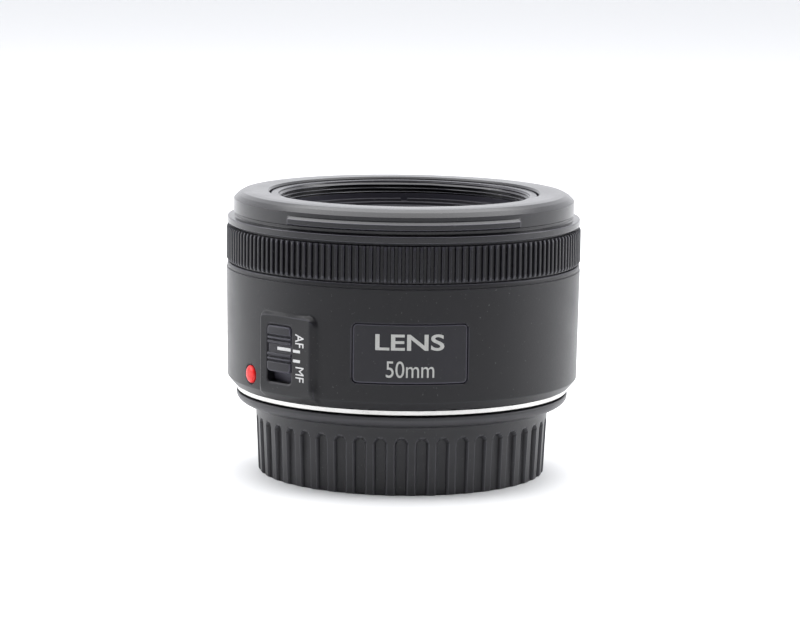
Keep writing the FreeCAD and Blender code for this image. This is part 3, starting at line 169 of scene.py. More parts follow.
def plastic(name, base, rough, grain=9000, depth=0.02, wear=0.35, blue=0.26, dust=0.18, specular=0.31):
    """Moulded plastic with a fine grain, smudges, dust specks and edges rubbed lighter."""
    n = Nodes(name)
    grains = n.noise(grain, 3.0, 0.6)
    coarse = n.noise(grain * 0.28, 2.0, 0.5)
    smudge = n.noise(95, 5.0, 0.62)
    specks = n.noise(2600, 1.0, 0.4)
    tint = n.ramp(smudge, "Fac", [(0.3, grey(base * 0.86, blue)), (0.7, grey(base * 1.18, blue))])
    speck_mask = n.ramp(specks, "Fac", [(0.74, (0, 0, 0)), (0.78, (dust, dust, dust))])
    dusty = n.mix((speck_mask, 0), (tint, 0), grey(0.22, 0))
    bend = n.add("ShaderNodeAttribute")
    bend.attribute_name = "edge"
    edge = n.ramp(bend, "Fac", [(0.05, (0, 0, 0)), (0.16, (wear, wear, wear))])
    worn = n.mix((edge, 0), dusty, grey(min(0.5, base * 4 + 0.03), blue))
    n.tree.links.new(worn[0].outputs[worn[1]], n.shader.inputs["Base Color"])
    gloss = n.ramp(smudge, "Fac", [(0.25, grey(rough * 0.88)), (0.75, grey(min(1, rough * 1.12)))])
    n.join(gloss, "Color", n.shader, "Roughness")
    n.shader.inputs["Specular IOR Level"].default_value = specular
    n.bump([(coarse, "Fac", depth * 1.6, 0.5), (grains, "Fac", depth, 0.7)])
    return n.material


def metal(name, colour, rough, turned=True, depth=0.004):
    """Metal with fine turning lines, or a brushed grain, and slight tarnish."""
    n = Nodes(name)
    stretch = (0.02, 0.02, 1.0) if turned else (0.05, 1.0, 1.0)
    lines = n.noise(16000 if turned else 7000, 2.0, 0.5, stretch)
    tarnish = n.noise(140, 4.0, 0.6)
    darker = tuple(c * 0.8 for c in colour)
    tint = n.ramp(tarnish, "Fac", [(0.3, darker), (0.65, colour)])
    n.join(tint, "Color", n.shader, "Base Color")
    n.shader.inputs["Metallic"].default_value = 1.0
    gloss = n.ramp(lines, "Fac", [(0.3, grey(rough * 0.7)), (0.7, grey(rough * 1.3))])
    n.join(gloss, "Color", n.shader, "Roughness")
    n.bump([(lines, "Fac", depth, 0.5)])
    return n.material


def paint(name, colour, rough=0.42):
    """Printed paint with a little unevenness."""
    n = Nodes(name)
    uneven = n.noise(3200, 3.0, 0.6)
    darker = tuple(c * 0.86 for c in colour)
    tint = n.ramp(uneven, "Fac", [(0.3, darker), (0.62, colour)])
    n.join(tint, "Color", n.shader, "Base Color")
    n.shader.inputs["Roughness"].default_value = rough
    n.bump([(uneven, "Fac", 0.006, 0.4)])
    return n.material


def gloss_red():
    n = Nodes("index_red")
    cloud = n.noise(1500, 3.0, 0.5)
    tint = n.ramp(cloud, "Fac", [(0.3, (0.6, 0.007, 0.007)), (0.7, (0.76, 0.013, 0.012))])
    n.join(tint, "Color", n.shader, "Base Color")
    n.set(n.shader, Roughness=0.22)
    n.shader.inputs["Specular IOR Level"].default_value = 0.3
    n.bump([(cloud, "Fac", 0.02, 0.25)])
    return n.material


def coated_glass(name, tint):
    """Optical glass with a coating that dims and tints its reflections."""
    n = Nodes(name)
    haze = n.noise(420, 4.0, 0.6)
    n.shader.inputs["Base Color"].default_value = (0.93, 0.97, 0.99, 1)
    n.shader.inputs["Transmission Weight"].default_value = 1.0
    n.shader.inputs["IOR"].default_value = 1.6
    n.shader.inputs["Specular Tint"].default_value = (*tint, 1)
    gloss = n.ramp(haze, "Fac", [(0.4, grey(0.01)), (0.8, grey(0.045))])
    n.join(gloss, "Color", n.shader, "Roughness")
    n.bump([(haze, "Fac", 0.0006, 0.1)])
    return n.material


def flat_black(name, base=0.012, rough=0.78):
    return plastic(name, base, rough, grain=7000, depth=0.03, wear=0.1, dust=0.06, specular=0.25)


def board(name):
    """Solder mask over copper tracks."""
    n = Nodes(name)
    tracks = n.add("ShaderNodeTexVoronoi", feature="DISTANCE_TO_EDGE")
    n.set(tracks, Scale=900.0)
    n.join(n.place, "Object", tracks, "Vector")
    tint = n.ramp(tracks, "Distance", [(0.03, (0.02, 0.16, 0.06)), (0.06, (0.008, 0.07, 0.03))])
    n.join(tint, "Color", n.shader, "Base Color")
    n.set(n.shader, Roughness=0.35)
    n.bump([(tint, "Color", 0.02, 0.4)])
    return n.material


def felt(name):
    n = Nodes(name)
    fibre = n.noise(9000, 5.0, 0.7)
    tint = n.ramp(fibre, "Fac", [(0.3, (0.008, 0.008, 0.009)), (0.7, (0.03, 0.03, 0.032))])
    n.join(tint, "Color", n.shader, "Base Color")
    n.set(n.shader, Roughness=0.95)
    n.shader.inputs["Sheen Weight"].default_value = 0.4
    n.bump([(fibre, "Fac", 0.06, 0.8)])
    return n.material


LOOKS = {
    "barrel_plastic": plastic("barrel_plastic", 0.006, 0.37, depth=0.014),
    "cover_plastic": plastic("cover_plastic", 0.009, 0.24, depth=0.006, wear=0.5, specular=0.46),
    "ring_plastic": plastic("ring_plastic", 0.006, 0.34, depth=0.006, wear=0.4, specular=0.3),
    "cap_plastic": plastic("cap_plastic", 0.025, 0.4, depth=0.012, wear=0.3, blue=0.1),
    "plate_plastic": plastic("plate_plastic", 0.013, 0.38, depth=0.004, wear=0.6),
    "knob_plastic": plastic("knob_plastic", 0.016, 0.4, depth=0.006, wear=0.4),
    "mount_metal": metal("mount_metal", (0.6, 0.595, 0.58), 0.24),
    "screw_steel": metal("screw_steel", (0.55, 0.55, 0.56), 0.35),
    "contact_gold": metal("contact_gold", (0.9, 0.68, 0.3), 0.2),
    "motor_steel": metal("motor_steel", (0.62, 0.62, 0.63), 0.3, turned=False),
    "bracket_steel": metal("bracket_steel", (0.6, 0.6, 0.58), 0.38, turned=False),
    "blade_black": metal("blade_black", (0.05, 0.05, 0.055), 0.5, turned=False),
    "index_red": gloss_red(),
    "trim_plastic": plastic("trim_plastic", 0.016, 0.5, depth=0.008, wear=0.2),
    "inner_plastic": flat_black("inner_plastic"),
    "gear_plastic": plastic("gear_plastic", 0.6, 0.4, depth=0.006, wear=0.1, blue=-0.12, dust=0.05),
    "cam_plastic": plastic("cam_plastic", 0.02, 0.35, depth=0.006, wear=0.2),
    "chip_black": plastic("chip_black", 0.02, 0.45, depth=0.01, wear=0.2),
    "board_green": board("board_green"),
    "felt": felt("felt"),
    "glass": coated_glass("glass", (0.06, 0.045, 0.09)),
}
SLIDER_LOOK = plastic("slider_plastic", 0.09, 0.5, depth=0.006, wear=0.2)
PRINT_WHITE = paint("print_white", (0.6, 0.6, 0.6))
PRINT_SILVER = paint("print_silver", (0.43, 0.43, 0.415), 0.35)


# ---------------------------------------------------------------- mesh tools


def mark_edges(mesh):
    """Stores on each point how far the surface bends outward there, for the worn look of edges."""
    count = len(mesh.vertices)
    places, normals = np.empty(count * 3), np.empty(count * 3)
    mesh.vertices.foreach_get("co", places)
    mesh.vertex_normals.foreach_get("vector", normals)
    places, normals = places.reshape(-1, 3), normals.reshape(-1, 3)
    ends = np.empty(len(mesh.edges) * 2, int)
    mesh.edges.foreach_get("vertices", ends)
    a, b = ends.reshape(-1, 2).T
    along = places[b] - places[a]
    along /= np.maximum(np.linalg.norm(along, axis=1), 1e-9)[:, None]
    bend = np.zeros(count)
    np.maximum.at(bend, a, -(normals[a] * along).sum(1))
    np.maximum.at(bend, b, (normals[b] * along).sum(1))
    low = np.full(count, 1.0)
    np.minimum.at(low, a, -(normals[a] * along).sum(1))
    np.minimum.at(low, b, (normals[b] * along).sum(1))
    mesh.attributes.new("edge", "FLOAT", "POINT").data.foreach_set("value", np.where(low > -0.05, bend, 0))


def piece(name, points, faces, body, slot, replaces=(), sharp=32, look=None, weld=0.0):
    """A mesh piece from points in millimetres, riding on a CAD body."""
    mesh = bpy.data.meshes.new(name)
    mesh.from_pydata((np.asarray(points, float) * MM).tolist(), [], faces)
    work = bmesh.new()
    work.from_mesh(mesh)
    if weld:
        bmesh.ops.remove_doubles(work, verts=work.verts, dist=weld * MM)
    bmesh.ops.recalc_face_normals(work, faces=work.faces)
    work.to_mesh(mesh)
    work.free()
    mesh.shade_smooth()
    mesh.set_sharp_from_angle(angle=math.radians(sharp))
    mark_edges(mesh)
    made = bpy.data.objects.new(name, mesh)
    bpy.context.scene.collection.objects.link(made)
    mesh.materials.append(look or LOOKS[slot])
    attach(made, body)
    if replaces:
        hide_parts(*replaces)
    return made


def grid_faces(rows, columns, wrap_rows, wrap_columns):
    """Quads of a grid of points numbered row by row."""
    r = np.arange(rows if wrap_rows else rows - 1)[:, None]
    c = np.arange(columns if wrap_columns else columns - 1)[None, :]
    up, along = (r + 1) % rows, (c + 1) % columns
    corners = [r * columns + c, up * columns + c, up * columns + along, r * columns + along]
    return np.stack([np.broadcast_to(k, (r.size, c.size)) for k in corners], -1).reshape(-1, 4).tolist()


def soft(outline, steps=5):
    """An outline (radius, height, fillet) with each corner rounded."""
    points, count = [], len(outline)
    for i, (x, y, fillet) in enumerate(outline):
        here = Vector((x, y))
        before = Vector(outline[i - 1][:2]) - here
        after = Vector(outline[(i + 1) % count][:2]) - here
        if not fillet:
            points.append((x, y))
            continue
        reach = fillet / math.tan(max(0.05, before.angle(after) / 2))
        start = here + before.normalized() * min(reach, 0.45 * before.length)
        end = here + after.normalized() * min(reach, 0.45 * after.length)
        for t in np.linspace(0, 1, steps + 1):
            p = start * (1 - t) ** 2 + here * 2 * t * (1 - t) + end * t ** 2
            points.append((p.x, p.y))
    return np.array(points)


def finer(outline, spacing, chosen=lambda a, b: True):
    """The same closed outline with its chosen long edges divided."""
    points = []
    for a, b in zip(outline, np.roll(outline, -1, axis=0)):
        length = float(np.hypot(*(b - a)))
        parts = max(1, int(math.ceil(length / spacing))) if chosen(a, b) else 1
        for k in range(parts):
            points.append(a + (b - a) * k / parts)
    return np.array(points)


def lathe(outline, bearings, shape=None):
    """Points of a closed outline swept round Z; shape(bearing, radius, height) may change the radius."""
    turn = np.radians(np.asarray(bearings, float))[:, None]
    radius = np.broadcast_to(outline[:, 0], (turn.size, len(outline))).copy()
    height = np.broadcast_to(outline[:, 1], radius.shape).copy()
    if shape:
        radius, height = shape(np.degrees(np.broadcast_to(turn, radius.shape)), radius, height)
    return np.stack([radius * np.sin(turn), -radius * np.cos(turn), height], -1).reshape(-1, 3)


def turned(name, outline, body, slot, replaces=(), bearings=None, shape=None, steps=5, fine=None, **more):
    """A turned piece from a closed outline (radius, height, fillet)."""
    bearings = np.arange(0, 360, 360 / 384) if bearings is None else bearings
    flat = soft(outline, steps)
    if fine:
        flat = finer(flat, *fine)
    points = lathe(flat, bearings, shape)
    faces = grid_faces(len(bearings), len(flat), True, True)
    return piece(name, points, faces, body, slot, replaces, **more)


def spread(*stretches):
    """Bearings made of stretches (start, end, spacing), joined end to end."""
    parts = [np.linspace(a, b, max(2, int(round((b - a) / s)) + 1))[:-1] for a, b, s in stretches]
    return np.concatenate(parts)


def step(low, high, value):
    """A smooth step from 0 at low to 1 at high."""
    t = np.clip((value - low) / (high - low), 0, 1)
    return t * t * (3 - 2 * t)


def inset(x, y, half_x, half_y, corner):
    """How far a point lies inside a rectangle with rounded corners, negative outside."""
    qx, qy = np.abs(x) - half_x + corner, np.abs(y) - half_y + corner
    outside = np.hypot(np.maximum(qx, 0), np.maximum(qy, 0)) + np.minimum(np.maximum(qx, qy), 0)
    return corner - outside


def cut(target, cutter):
    """Cuts one mesh out of another and discards the cutter."""
    change = target.modifiers.new("cut", "BOOLEAN")
    change.operation, change.solver, change.object = "DIFFERENCE", "EXACT", cutter
    bpy.context.view_layer.update()
    evaluated = target.evaluated_get(bpy.context.evaluated_depsgraph_get())
    mesh = bpy.data.meshes.new_from_object(evaluated)
    target.modifiers.clear()
    target.data = mesh
    mesh.set_sharp_from_angle(angle=math.radians(32))
    bpy.data.objects.remove(cutter)


def flat_frame(bearing):
    """Maps (across, out, height) in the upright plane at a bearing to the row frame."""
    angle = math.radians(bearing)
    right = np.array([math.cos(angle), math.sin(angle), 0])
    outward = np.array([math.sin(angle), -math.cos(angle), 0])

    def place(across, out, height):
        across, out, height = (np.asarray(v, float)[..., None] for v in (across, out, height))
        return across * right + out * outward + height * np.array([0, 0, 1.0])
    return place


def patch(half_x, low, high, corner, edge, columns, rows, face, back, place):
    """Points and faces of a closed slab: a gridded face with rounded corners and edges, and a flat back.
    face(x, y) and back(x, y) give how far out each side stands; place maps (x, out, y) to the row frame."""
    middle, half_y = (low + high) / 2, (high - low) / 2
    near = np.array([0, 0.12, 0.3, 0.55, 0.8, 1.0])

    def band(half, count):
        between = np.linspace(-half + corner, half - corner, count)[1:-1]
        return np.concatenate([-half + near * corner, between, half - near[::-1] * corner])

    x, y = np.meshgrid(band(half_x, columns), band(half_y, rows), indexing="ij")
    in_x, in_y = half_x - np.abs(x), half_y - np.abs(y)
    depth = np.minimum(in_x, in_y)
    u, v = np.clip(1 - in_x / corner, 0, 1), np.clip(1 - in_y / corner, 0, 1)
    reach, long = np.maximum(u, v), np.hypot(u, v)
    shrink = np.where(long > 1e-9, reach / np.maximum(long, 1e-9), 1)
    x = np.where((u > 0) & (v > 0), np.sign(x) * (half_x - corner + u * shrink * corner), x)
    y = np.where((u > 0) & (v > 0), np.sign(y) * (half_y - corner + v * shrink * corner), y)
    y = y + middle
    t = np.clip(depth / edge, 0, 1)
    drop = edge * (1 - np.sqrt(np.maximum(0, 1 - (1 - t) ** 2)))
    front = place(x, face(x, y) - drop, y)
    rear = place(x, back(x, y), y)
    columns_all, rows_all = x.shape
    points = np.concatenate([front.reshape(-1, 3), rear.reshape(-1, 3)])
    faces = grid_faces(columns_all, rows_all, False, False)
    total = columns_all * rows_all
    faces += [[k + total for k in reversed(f)] for f in faces]
    loop = [i * rows_all for i in range(columns_all)]
    loop += [(columns_all - 1) * rows_all + j for j in range(1, rows_all)]
    loop += [i * rows_all + rows_all - 1 for i in range(columns_all - 2, -1, -1)]
    loop += list(range(rows_all - 2, 0, -1))
    for a, b in zip(loop, loop[1:] + loop[:1]):
        faces.append([a, b, b + total, a + total])
    return points, faces


# ---------------------------------------------------------------- barrel


def barrel_shape(bearing, radius, height):
    """Raises the switch pad on the barrel's wall and sinks the seats of the plate and of the index."""
    outer = (radius > 32.93) & (height > 17.3) & (height < 40.1)
    turn = (bearing - PAD_BEARING + 180) % 360 - 180
    close = np.abs(turn) < 30
    angle = np.radians(np.where(close, turn, 30))
    across = PAD_FACE * np.tan(angle)
    plane = PAD_FACE / np.cos(angle)
    low = np.clip((23.2 - height) / 4.6, 0, 1)
    flare = 1 - np.sqrt(1 - low ** 2)
    right = 1 - step(PAD_RIGHT - 0.7, PAD_RIGHT + 1.1 + 3.0 * flare, across)
    left = step(PAD_LEFT - 0.6 - 1.5 * flare, PAD_LEFT + 0.4, across)
    corner = inset(across - (PAD_LEFT + PAD_RIGHT) / 2, height - PAD_TOP + 18,
                   (PAD_RIGHT - PAD_LEFT) / 2 + 0.7, 18.0, 2.2)
    top = step(-0.45, 0.5, corner)
    bottom = step(17.4, 20.4, height)
    mask = np.where(close, right * left * top * bottom, 0)
    slot = inset(across, height - (SLOT_LOW + SLOT_HIGH) / 2, SLOT_HALF, (SLOT_HIGH - SLOT_LOW) / 2,
                 SLOT_ROUND)
    edge = np.where(slot > -0.3, 0.13 * step(-0.3, 0.0, slot), 0)
    raised = radius + (plane - radius - edge) * mask
    around = PLATE_FACE * np.radians((bearing - PLATE_BEARING + 180) % 360 - 180)
    seat = inset(around, height - (PLATE_LOW + PLATE_HIGH) / 2, PLATE_HALF + 0.13,
                 (PLATE_HIGH - PLATE_LOW) / 2 + 0.13, 1.0)
    raised = raised - 0.34 * step(-0.06, 0.06, seat)
    away = 34.3 * np.radians((bearing - DOT_BEARING + 180) % 360 - 180)
    ring = DOT_RADIUS + 0.16 - np.hypot(away, height - DOT_HEIGHT)
    raised = raised - 0.35 * step(-0.2, 0.05, ring)
    return np.where(outer, raised, radius), height


def make_barrel():
    outline = [
        (24.0, BARREL_LOW, 0), (31.6, BARREL_LOW, 0), (31.7, 17.35, 0), (32.95, 17.35, 0.12),
        (34.25, 18.9, 0.45), (BARREL_RADIUS, 40.2, 0.08), (34.33, 40.26, 0.05), (34.33, 40.4, 0.05),
        (34.43, 40.46, 0.06), (34.4, BARREL_TOP, 0.42), (32.9, BARREL_TOP, 0.1), (32.9, 18.6, 0),
        (24.0, 18.6, 0),
    ]
    bearings = spread((-64, -51, 0.2), (-51, -20, 0.14), (-20, -14.5, 0.35), (-14.5, 20, 0.35),
                      (20, 26, 0.35), (26, 296, 1.0))
    fine = (0.16, lambda a, b: min(a[0], b[0]) > 32.93 and abs(a[1] - b[1]) > 0.3)
    barrel = turned("barrel_shell", outline, "barrel", "barrel_plastic", ["outer_barrel"], bearings,
                    barrel_shape, fine=fine)
    place = flat_frame(PAD_BEARING)
    points, faces = patch(SLOT_HALF, SLOT_LOW, SLOT_HIGH, SLOT_ROUND, 0.01, 4, 4,
                          lambda x, y: x * 0 + 36.5, lambda x, y: x * 0 + 31.0, place)
    cutter = piece("slot_cutter", points, faces, "barrel", "barrel_plastic")
    cut(barrel, cutter)


def make_plate():
    def place(x, out, y):
        angle = np.radians(PLATE_BEARING) + x / PLATE_FACE
        return np.stack([out * np.sin(angle), -out * np.cos(angle), y], -1)
    points, faces = patch(PLATE_HALF, PLATE_LOW, PLATE_HIGH, 0.9, 0.16, 90, 30,
                          lambda x, y: x * 0 + PLATE_FACE, lambda x, y: x * 0 + PLATE_FACE - 0.48, place)
    piece("name_plate_face", points, faces, "barrel", "plate_plastic", ["name_plate"])


def make_index_dot():
    rise = 0.5
    count = 48
    ramp = np.linspace(0, 1, 12)
    dome = [(DOT_RADIUS * math.cos(t * math.pi / 2) ** 0.75 if t < 1 else 0.0,
             rise * math.sin(t * math.pi / 2) - 0.12) for t in ramp]
    outline = [(DOT_RADIUS, -0.9), *dome]
    place = flat_frame(DOT_BEARING)
    points = []
    for k in range(count):
        turn = 2 * math.pi * k / count
        for radius, out in outline:
            points.append(place(radius * math.cos(turn), DOT_SEAT + out,
                                DOT_HEIGHT + radius * math.sin(turn)))
    faces = grid_faces(count, len(outline), True, False)
    faces.append([k * len(outline) for k in range(count)])
    piece("index_dome", np.array(points), faces, "barrel", "index_red", ["index_dot"], weld=0.001, sharp=50)


def knob_face(x, y):
    """The knob's face with two finger grooves at each end and a wide shallow recess between them."""
    groove = 0
    for height in KNOB_GROOVES:
        groove = groove + 0.34 * np.exp(-((y - height) / 0.2) ** 2)
    recess = 0.34 * step(26.6, 26.95, y) * (1 - step(28.35, 28.7, y))
    crown = 0.1 * (x / KNOB_HALF) ** 2
    return KNOB_FACE - groove - recess - crown


def make_knob():
    place = flat_frame(PAD_BEARING)
    points, faces = patch(KNOB_HALF, KNOB_LOW, KNOB_HIGH, 0.75, 0.22, 16, 150, knob_face,
                          lambda x, y: x * 0 + 32.52, place)
    piece("knob_grip", points, faces, "switch", "knob_plastic", ["switch_knob"])


# ---------------------------------------------------------------- rings and cap


def ring_shape(bearing, radius, height):
    """Cuts the rib gaps of the focus ring, with rounded rib edges and ends."""
    pitch = 360 / RIBS
    share = np.abs((bearing / pitch + 0.5) % 1 - 0.5)
    gap = 1 - step(0.21, 0.33, share)
    ends = step(RING_LOW, 41.9, height) * (1 - step(48.0, RING_TOP, height))
    crown = 0.1 * (np.clip(share - 0.2, 0, 1) - 0.3) ** 2 / 0.09
    outer = radius > 34.3
    inside = radius - RIB_DEPTH * gap - crown * (1 - gap) - 0.22 * (1 - ends) * (1 - gap)
    return np.where(outer, inside, radius), height


def make_focus_ring():
    outline = [
        (RING_BORE, 41.35, 0), (33.95, 41.35, 0.05), (33.95, RING_LOW, 0), (RING_RADIUS, RING_LOW, 0),
        (RING_RADIUS, RING_TOP, 0), (RING_BORE, RING_TOP, 0),
    ]
    pitch = 360 / RIBS
    half = np.array([0.21, 0.24, 0.27, 0.3, 0.33, 0.38, 0.44])
    shares = np.concatenate([[0], half, [0.5], 1 - half[::-1]])
    bearings = ((np.arange(RIBS)[:, None] + shares[None, :]) * pitch).ravel()
    fine = (0.4, lambda a, b: min(a[0], b[0]) > 34.5)
    turned("focus_grip", outline, "focus_ring", "ring_plastic", ["focus_ring"], bearings, ring_shape,
           fine=fine, sharp=40)


def cover_shape(bearing, radius, height):
    """Raises the two hood lugs on the rim."""
    half_turn = (bearing + 90) % 180 - 90
    arc = 1 - step(LUG_HALF_ARC - 0.6, LUG_HALF_ARC + 0.5, np.abs(half_turn))
    climb = step(51.1, 51.3, height) * np.clip((52.75 - height) / 0.5, 0, 1)
    outer = radius > 33.0
    return np.where(outer, radius + LUG_RISE * arc * climb, radius), height


def make_front_cover():
    outline = [
        (31.75, COVER_LOW, 0), (34.4, COVER_LOW, 0.12), (34.4, 50.12, 0.16), (33.3, 50.26, 0.05),
        (33.05, 50.42, 0.1), (33.05, 50.95, 0.1), (RIM_RADIUS, 51.05, 0.05), (RIM_RADIUS, 53.58, 0.06),
        (32.4, 54.4, 0.35), (31.5, 54.9, 0.7), (30.0, RIM_TOP, 1.0), (26.6, 54.98, 0.12),
        (COVER_BORE, 54.6, 0.1), (COVER_BORE, 49.2, 0), (27.6, 49.2, 0),
        (27.6, 53.4, 0.3), (31.9, 53.6, 0.3), (31.9, 50.05, 0), (31.75, 50.05, 0),
    ]
    bearings = spread((-43, -39, 0.2), (-39, 39, 0.8), (39, 43, 0.2), (43, 137, 0.8), (137, 141, 0.2),
                      (141, 219, 0.8), (219, 223, 0.2), (223, 317, 0.8))
    fine = (0.12, lambda a, b: min(a[0], b[0]) > 33.1 and max(a[1], b[1]) < 53.7)
    turned("cover_shell", outline, "barrel", "cover_plastic", ["front_cover"], bearings, cover_shape,
           fine=fine)


def cap_shape(bearing, radius, height):
    """Cuts the flutes of the rear cap, each with a rounded top and soft edges."""
    pitch = 360 / FLUTES
    across = ((bearing / pitch + 0.5) % 1 - 0.5) * math.radians(pitch) * 28.3
    over = np.maximum(height - (FLUTE_TOP - 1.0), 0)
    depth = 1.0 - np.hypot(across, over)
    cut_in = step(-0.22, 0.16, depth)
    outer = (radius > 27.2) & (height < 12.5) & (height > 0.0)
    floor = FLUTE_FLOOR + 0.02 * height
    sunk = radius + (np.minimum(floor, radius) - radius) * cut_in
    return np.where(outer, sunk, radius), height


def make_rear_cap():
    turns = np.radians(np.arange(0, 91, 9))
    shoulder = [(29.3 + 3.2 * math.sin(t), 15.4 - 2.0 * math.cos(t), 0) for t in turns]
    outline = [
        (0, 0.5, 0), (24.2, 0.5, 0.1), (24.2, 0, 0.12), (28.1, 0, 0.45), (28.62, 10.5, 0), (28.66, 13.2, 1.6),
        *shoulder, (CAP_RADIUS, CAP_TOP, 0.3), (29.0, CAP_TOP, 0), (29.0, 16.14, 0), (27.0, 16.14, 0),
        (27.0, 11.95, 0), (25.9, 10.95, 0), (25.9, 2.4, 0.3), (0, 2.4, 0),
    ]
    pitch = 360 / FLUTES
    shares = np.linspace(0, 1, 23)[:-1]
    bearings = ((np.arange(FLUTES)[:, None] + shares[None, :]) * pitch).ravel()
    flat = finer(soft(outline, 6), 0.35, lambda a, b: min(a[0], b[0]) > 28.0 and max(a[1], b[1]) < 12.6)
    points = lathe(flat, bearings, cap_shape)
    faces = grid_faces(len(bearings), len(flat), True, False)
    piece("cap_cup", points, faces, "cap", "cap_plastic", ["rear_cap"], weld=0.0005)


# ---------------------------------------------------------------- front well


def thread_shape(bearing, radius, height):
    """Cuts the filter thread's helical ridges into the inner barrel's mouth."""
    inside = (radius > 23.95) & (radius < 24.6) & (height > 51.95) & (height < 54.25)
    phase = (height / THREAD_PITCH - bearing / 360) % 1
    ridge = np.abs(phase * 2 - 1)
    fade = step(51.95, 52.2, height) * (1 - step(54.0, 54.25, height))
    return np.where(inside, radius - THREAD_DEPTH * ridge * fade, radius), height


def make_inner_barrel():
    outline = [
        (20.0, 22.0, 0), (21.2, 22.0, 0), (21.2, 44.6, 0), (24.6, 44.6, 0), (24.6, 40.6, 0),
        (TUBE_RADIUS, 40.6, 0.2), (TUBE_RADIUS, TUBE_TOP, 0.3), (THREAD_RADIUS, TUBE_TOP, 0.3),
        (THREAD_RADIUS, THREAD_LOW, 0), (23.9, THREAD_LOW, 0), (23.9, 46.0, 0), (20.0, 46.0, 0),
    ]
    fine = (0.07, lambda a, b: 24.4 < min(a[0], b[0]) and max(a[0], b[0]) < 24.6 and min(a[1], b[1]) > 51.8)
    turned("inner_tube", outline, "optics", "cover_plastic", ["inner_barrel"], None, thread_shape, fine=fine)


def trim_shape(bearing, radius, height):
    """Sinks the two wrench notches into the top step of the baffle."""
    across = 23.4 * np.radians((bearing + 90) % 180 - 90)
    sink = 0.5 * (1 - step(0.55, 0.75, np.abs(across)))
    return radius, np.where((radius > 22.85) & (height > 50.6), height - sink, height)


def make_trim_ring():
    """The stepped baffle with its wrench notches."""
    outline = [(15.6, 46.3, 0), (22.4, 48.6, 0), (22.4, 46.05, 0), (TRIM_RADIUS, 46.05, 0),
               (TRIM_RADIUS, TRIM_TOP, 0.15)]
    level = TRIM_TOP
    for outer in TRIM_EDGES:
        outline += [(outer, level, 0.12), (outer, level - TRIM_STEP, 0.04)]
        level -= TRIM_STEP
    outline += [(16.6, level, 0.1), (15.6, level - 1.0, 0.05)]
    bearings = spread((-4, 4, 0.25), (4, 176, 1.0), (176, 184, 0.25), (184, 356, 1.0))
    turned("trim_steps", outline, "optics", "trim_plastic", ["trim_ring"], bearings, trim_shape, steps=3)


def lens_points(front, rear, front_curve, rear_curve, rim, count=24):
    """The closed outline of an element, from the axis out along the front and back along the rear."""
    radii = np.linspace(0, rim, count)

    def sag(curve):
        return abs(curve) - np.sqrt(curve ** 2 - radii ** 2)

    top = front - np.sign(front_curve) * sag(front_curve)
    bottom = rear - np.sign(rear_curve) * sag(rear_curve)
    return np.concatenate([np.stack([radii, top], -1), np.stack([radii[::-1], bottom[::-1]], -1)])


def make_front_element():
    flat = lens_points(front=47.6, rear=43.1, front_curve=36.4, rear_curve=217.6, rim=15.35)
    bearings = np.arange(0, 360, 2.5)
    points = lathe(flat, bearings)
    faces = grid_faces(len(bearings), len(flat), True, False)
    piece("front_glass", points, faces, "optics", "glass", ["lens_element_1"], weld=0.0005, sharp=60)


# ---------------------------------------------------------------- lettering


def lettering(name, text, size, place, body, slot, look, thick=0.012, bold=0.0, turn=0.0, grain=0.25,
              stretch=(1, 1)):
    """Printed letters: a text turned into a fine thin mesh and laid on a surface by place(x, y, out)."""
    curve = bpy.data.curves.new(name, "FONT")
    curve.body, curve.size, curve.align_x, curve.align_y = text, size, "CENTER", "CENTER"
    curve.offset = bold
    curve.resolution_u = 6
    drawn = bpy.data.objects.new(name + "_text", curve)
    bpy.context.scene.collection.objects.link(drawn)
    bpy.context.view_layer.update()
    mesh = bpy.data.meshes.new_from_object(drawn.evaluated_get(bpy.context.evaluated_depsgraph_get()))
    bpy.data.objects.remove(drawn)
    work = bmesh.new()
    work.from_mesh(mesh)
    bmesh.ops.remove_doubles(work, verts=work.verts, dist=1e-5)
    for axis in (0, 1):
        low = min(v.co[axis] for v in work.verts)
        high = max(v.co[axis] for v in work.verts)
        normal = Vector((1, 0, 0)) if axis == 0 else Vector((0, 1, 0))
        for cut_at in np.arange(low + grain, high, grain):
            bmesh.ops.bisect_plane(work, geom=work.verts[:] + work.edges[:] + work.faces[:],
                                   plane_co=normal * cut_at, plane_no=normal)
    extruded = bmesh.ops.extrude_face_region(work, geom=work.faces[:])
    for v in extruded["geom"]:
        if isinstance(v, bmesh.types.BMVert):
            v.co.z = 1.0
    middle_x = (min(v.co.x for v in work.verts) + max(v.co.x for v in work.verts)) / 2
    middle_y = (min(v.co.y for v in work.verts) + max(v.co.y for v in work.verts)) / 2
    spin = math.radians(turn)
    points = []
    work.verts.index_update()
    for v in work.verts:
        x, y = (v.co.x - middle_x) * stretch[0], (v.co.y - middle_y) * stretch[1]
        x, y = x * math.cos(spin) - y * math.sin(spin), x * math.sin(spin) + y * math.cos(spin)
        points.append(np.asarray(place(x, y, thick if v.co.z > 0.5 else -0.02), float))
    faces = [[v.index for v in f.verts] for f in work.faces]
    work.free()
    return piece(name, np.array(points), faces, body, slot, look=look)


def on_plate(across, height):
    """Places printed marks on the name plate, centred at an arc distance and a height."""
    def place(x, y, out):
        angle = math.radians(PLATE_BEARING) + (across + x) / PLATE_FACE
        radius = PLATE_FACE + out
        return (radius * math.sin(angle), -radius * math.cos(angle), height + y)
    return place


def on_pad(across, height, face=PAD_FACE):
    """Places printed marks on a flat face that looks out at the pad's bearing."""
    frame_place = flat_frame(PAD_BEARING)
    return lambda x, y, out: frame_place(across + x, face + out, height + y)


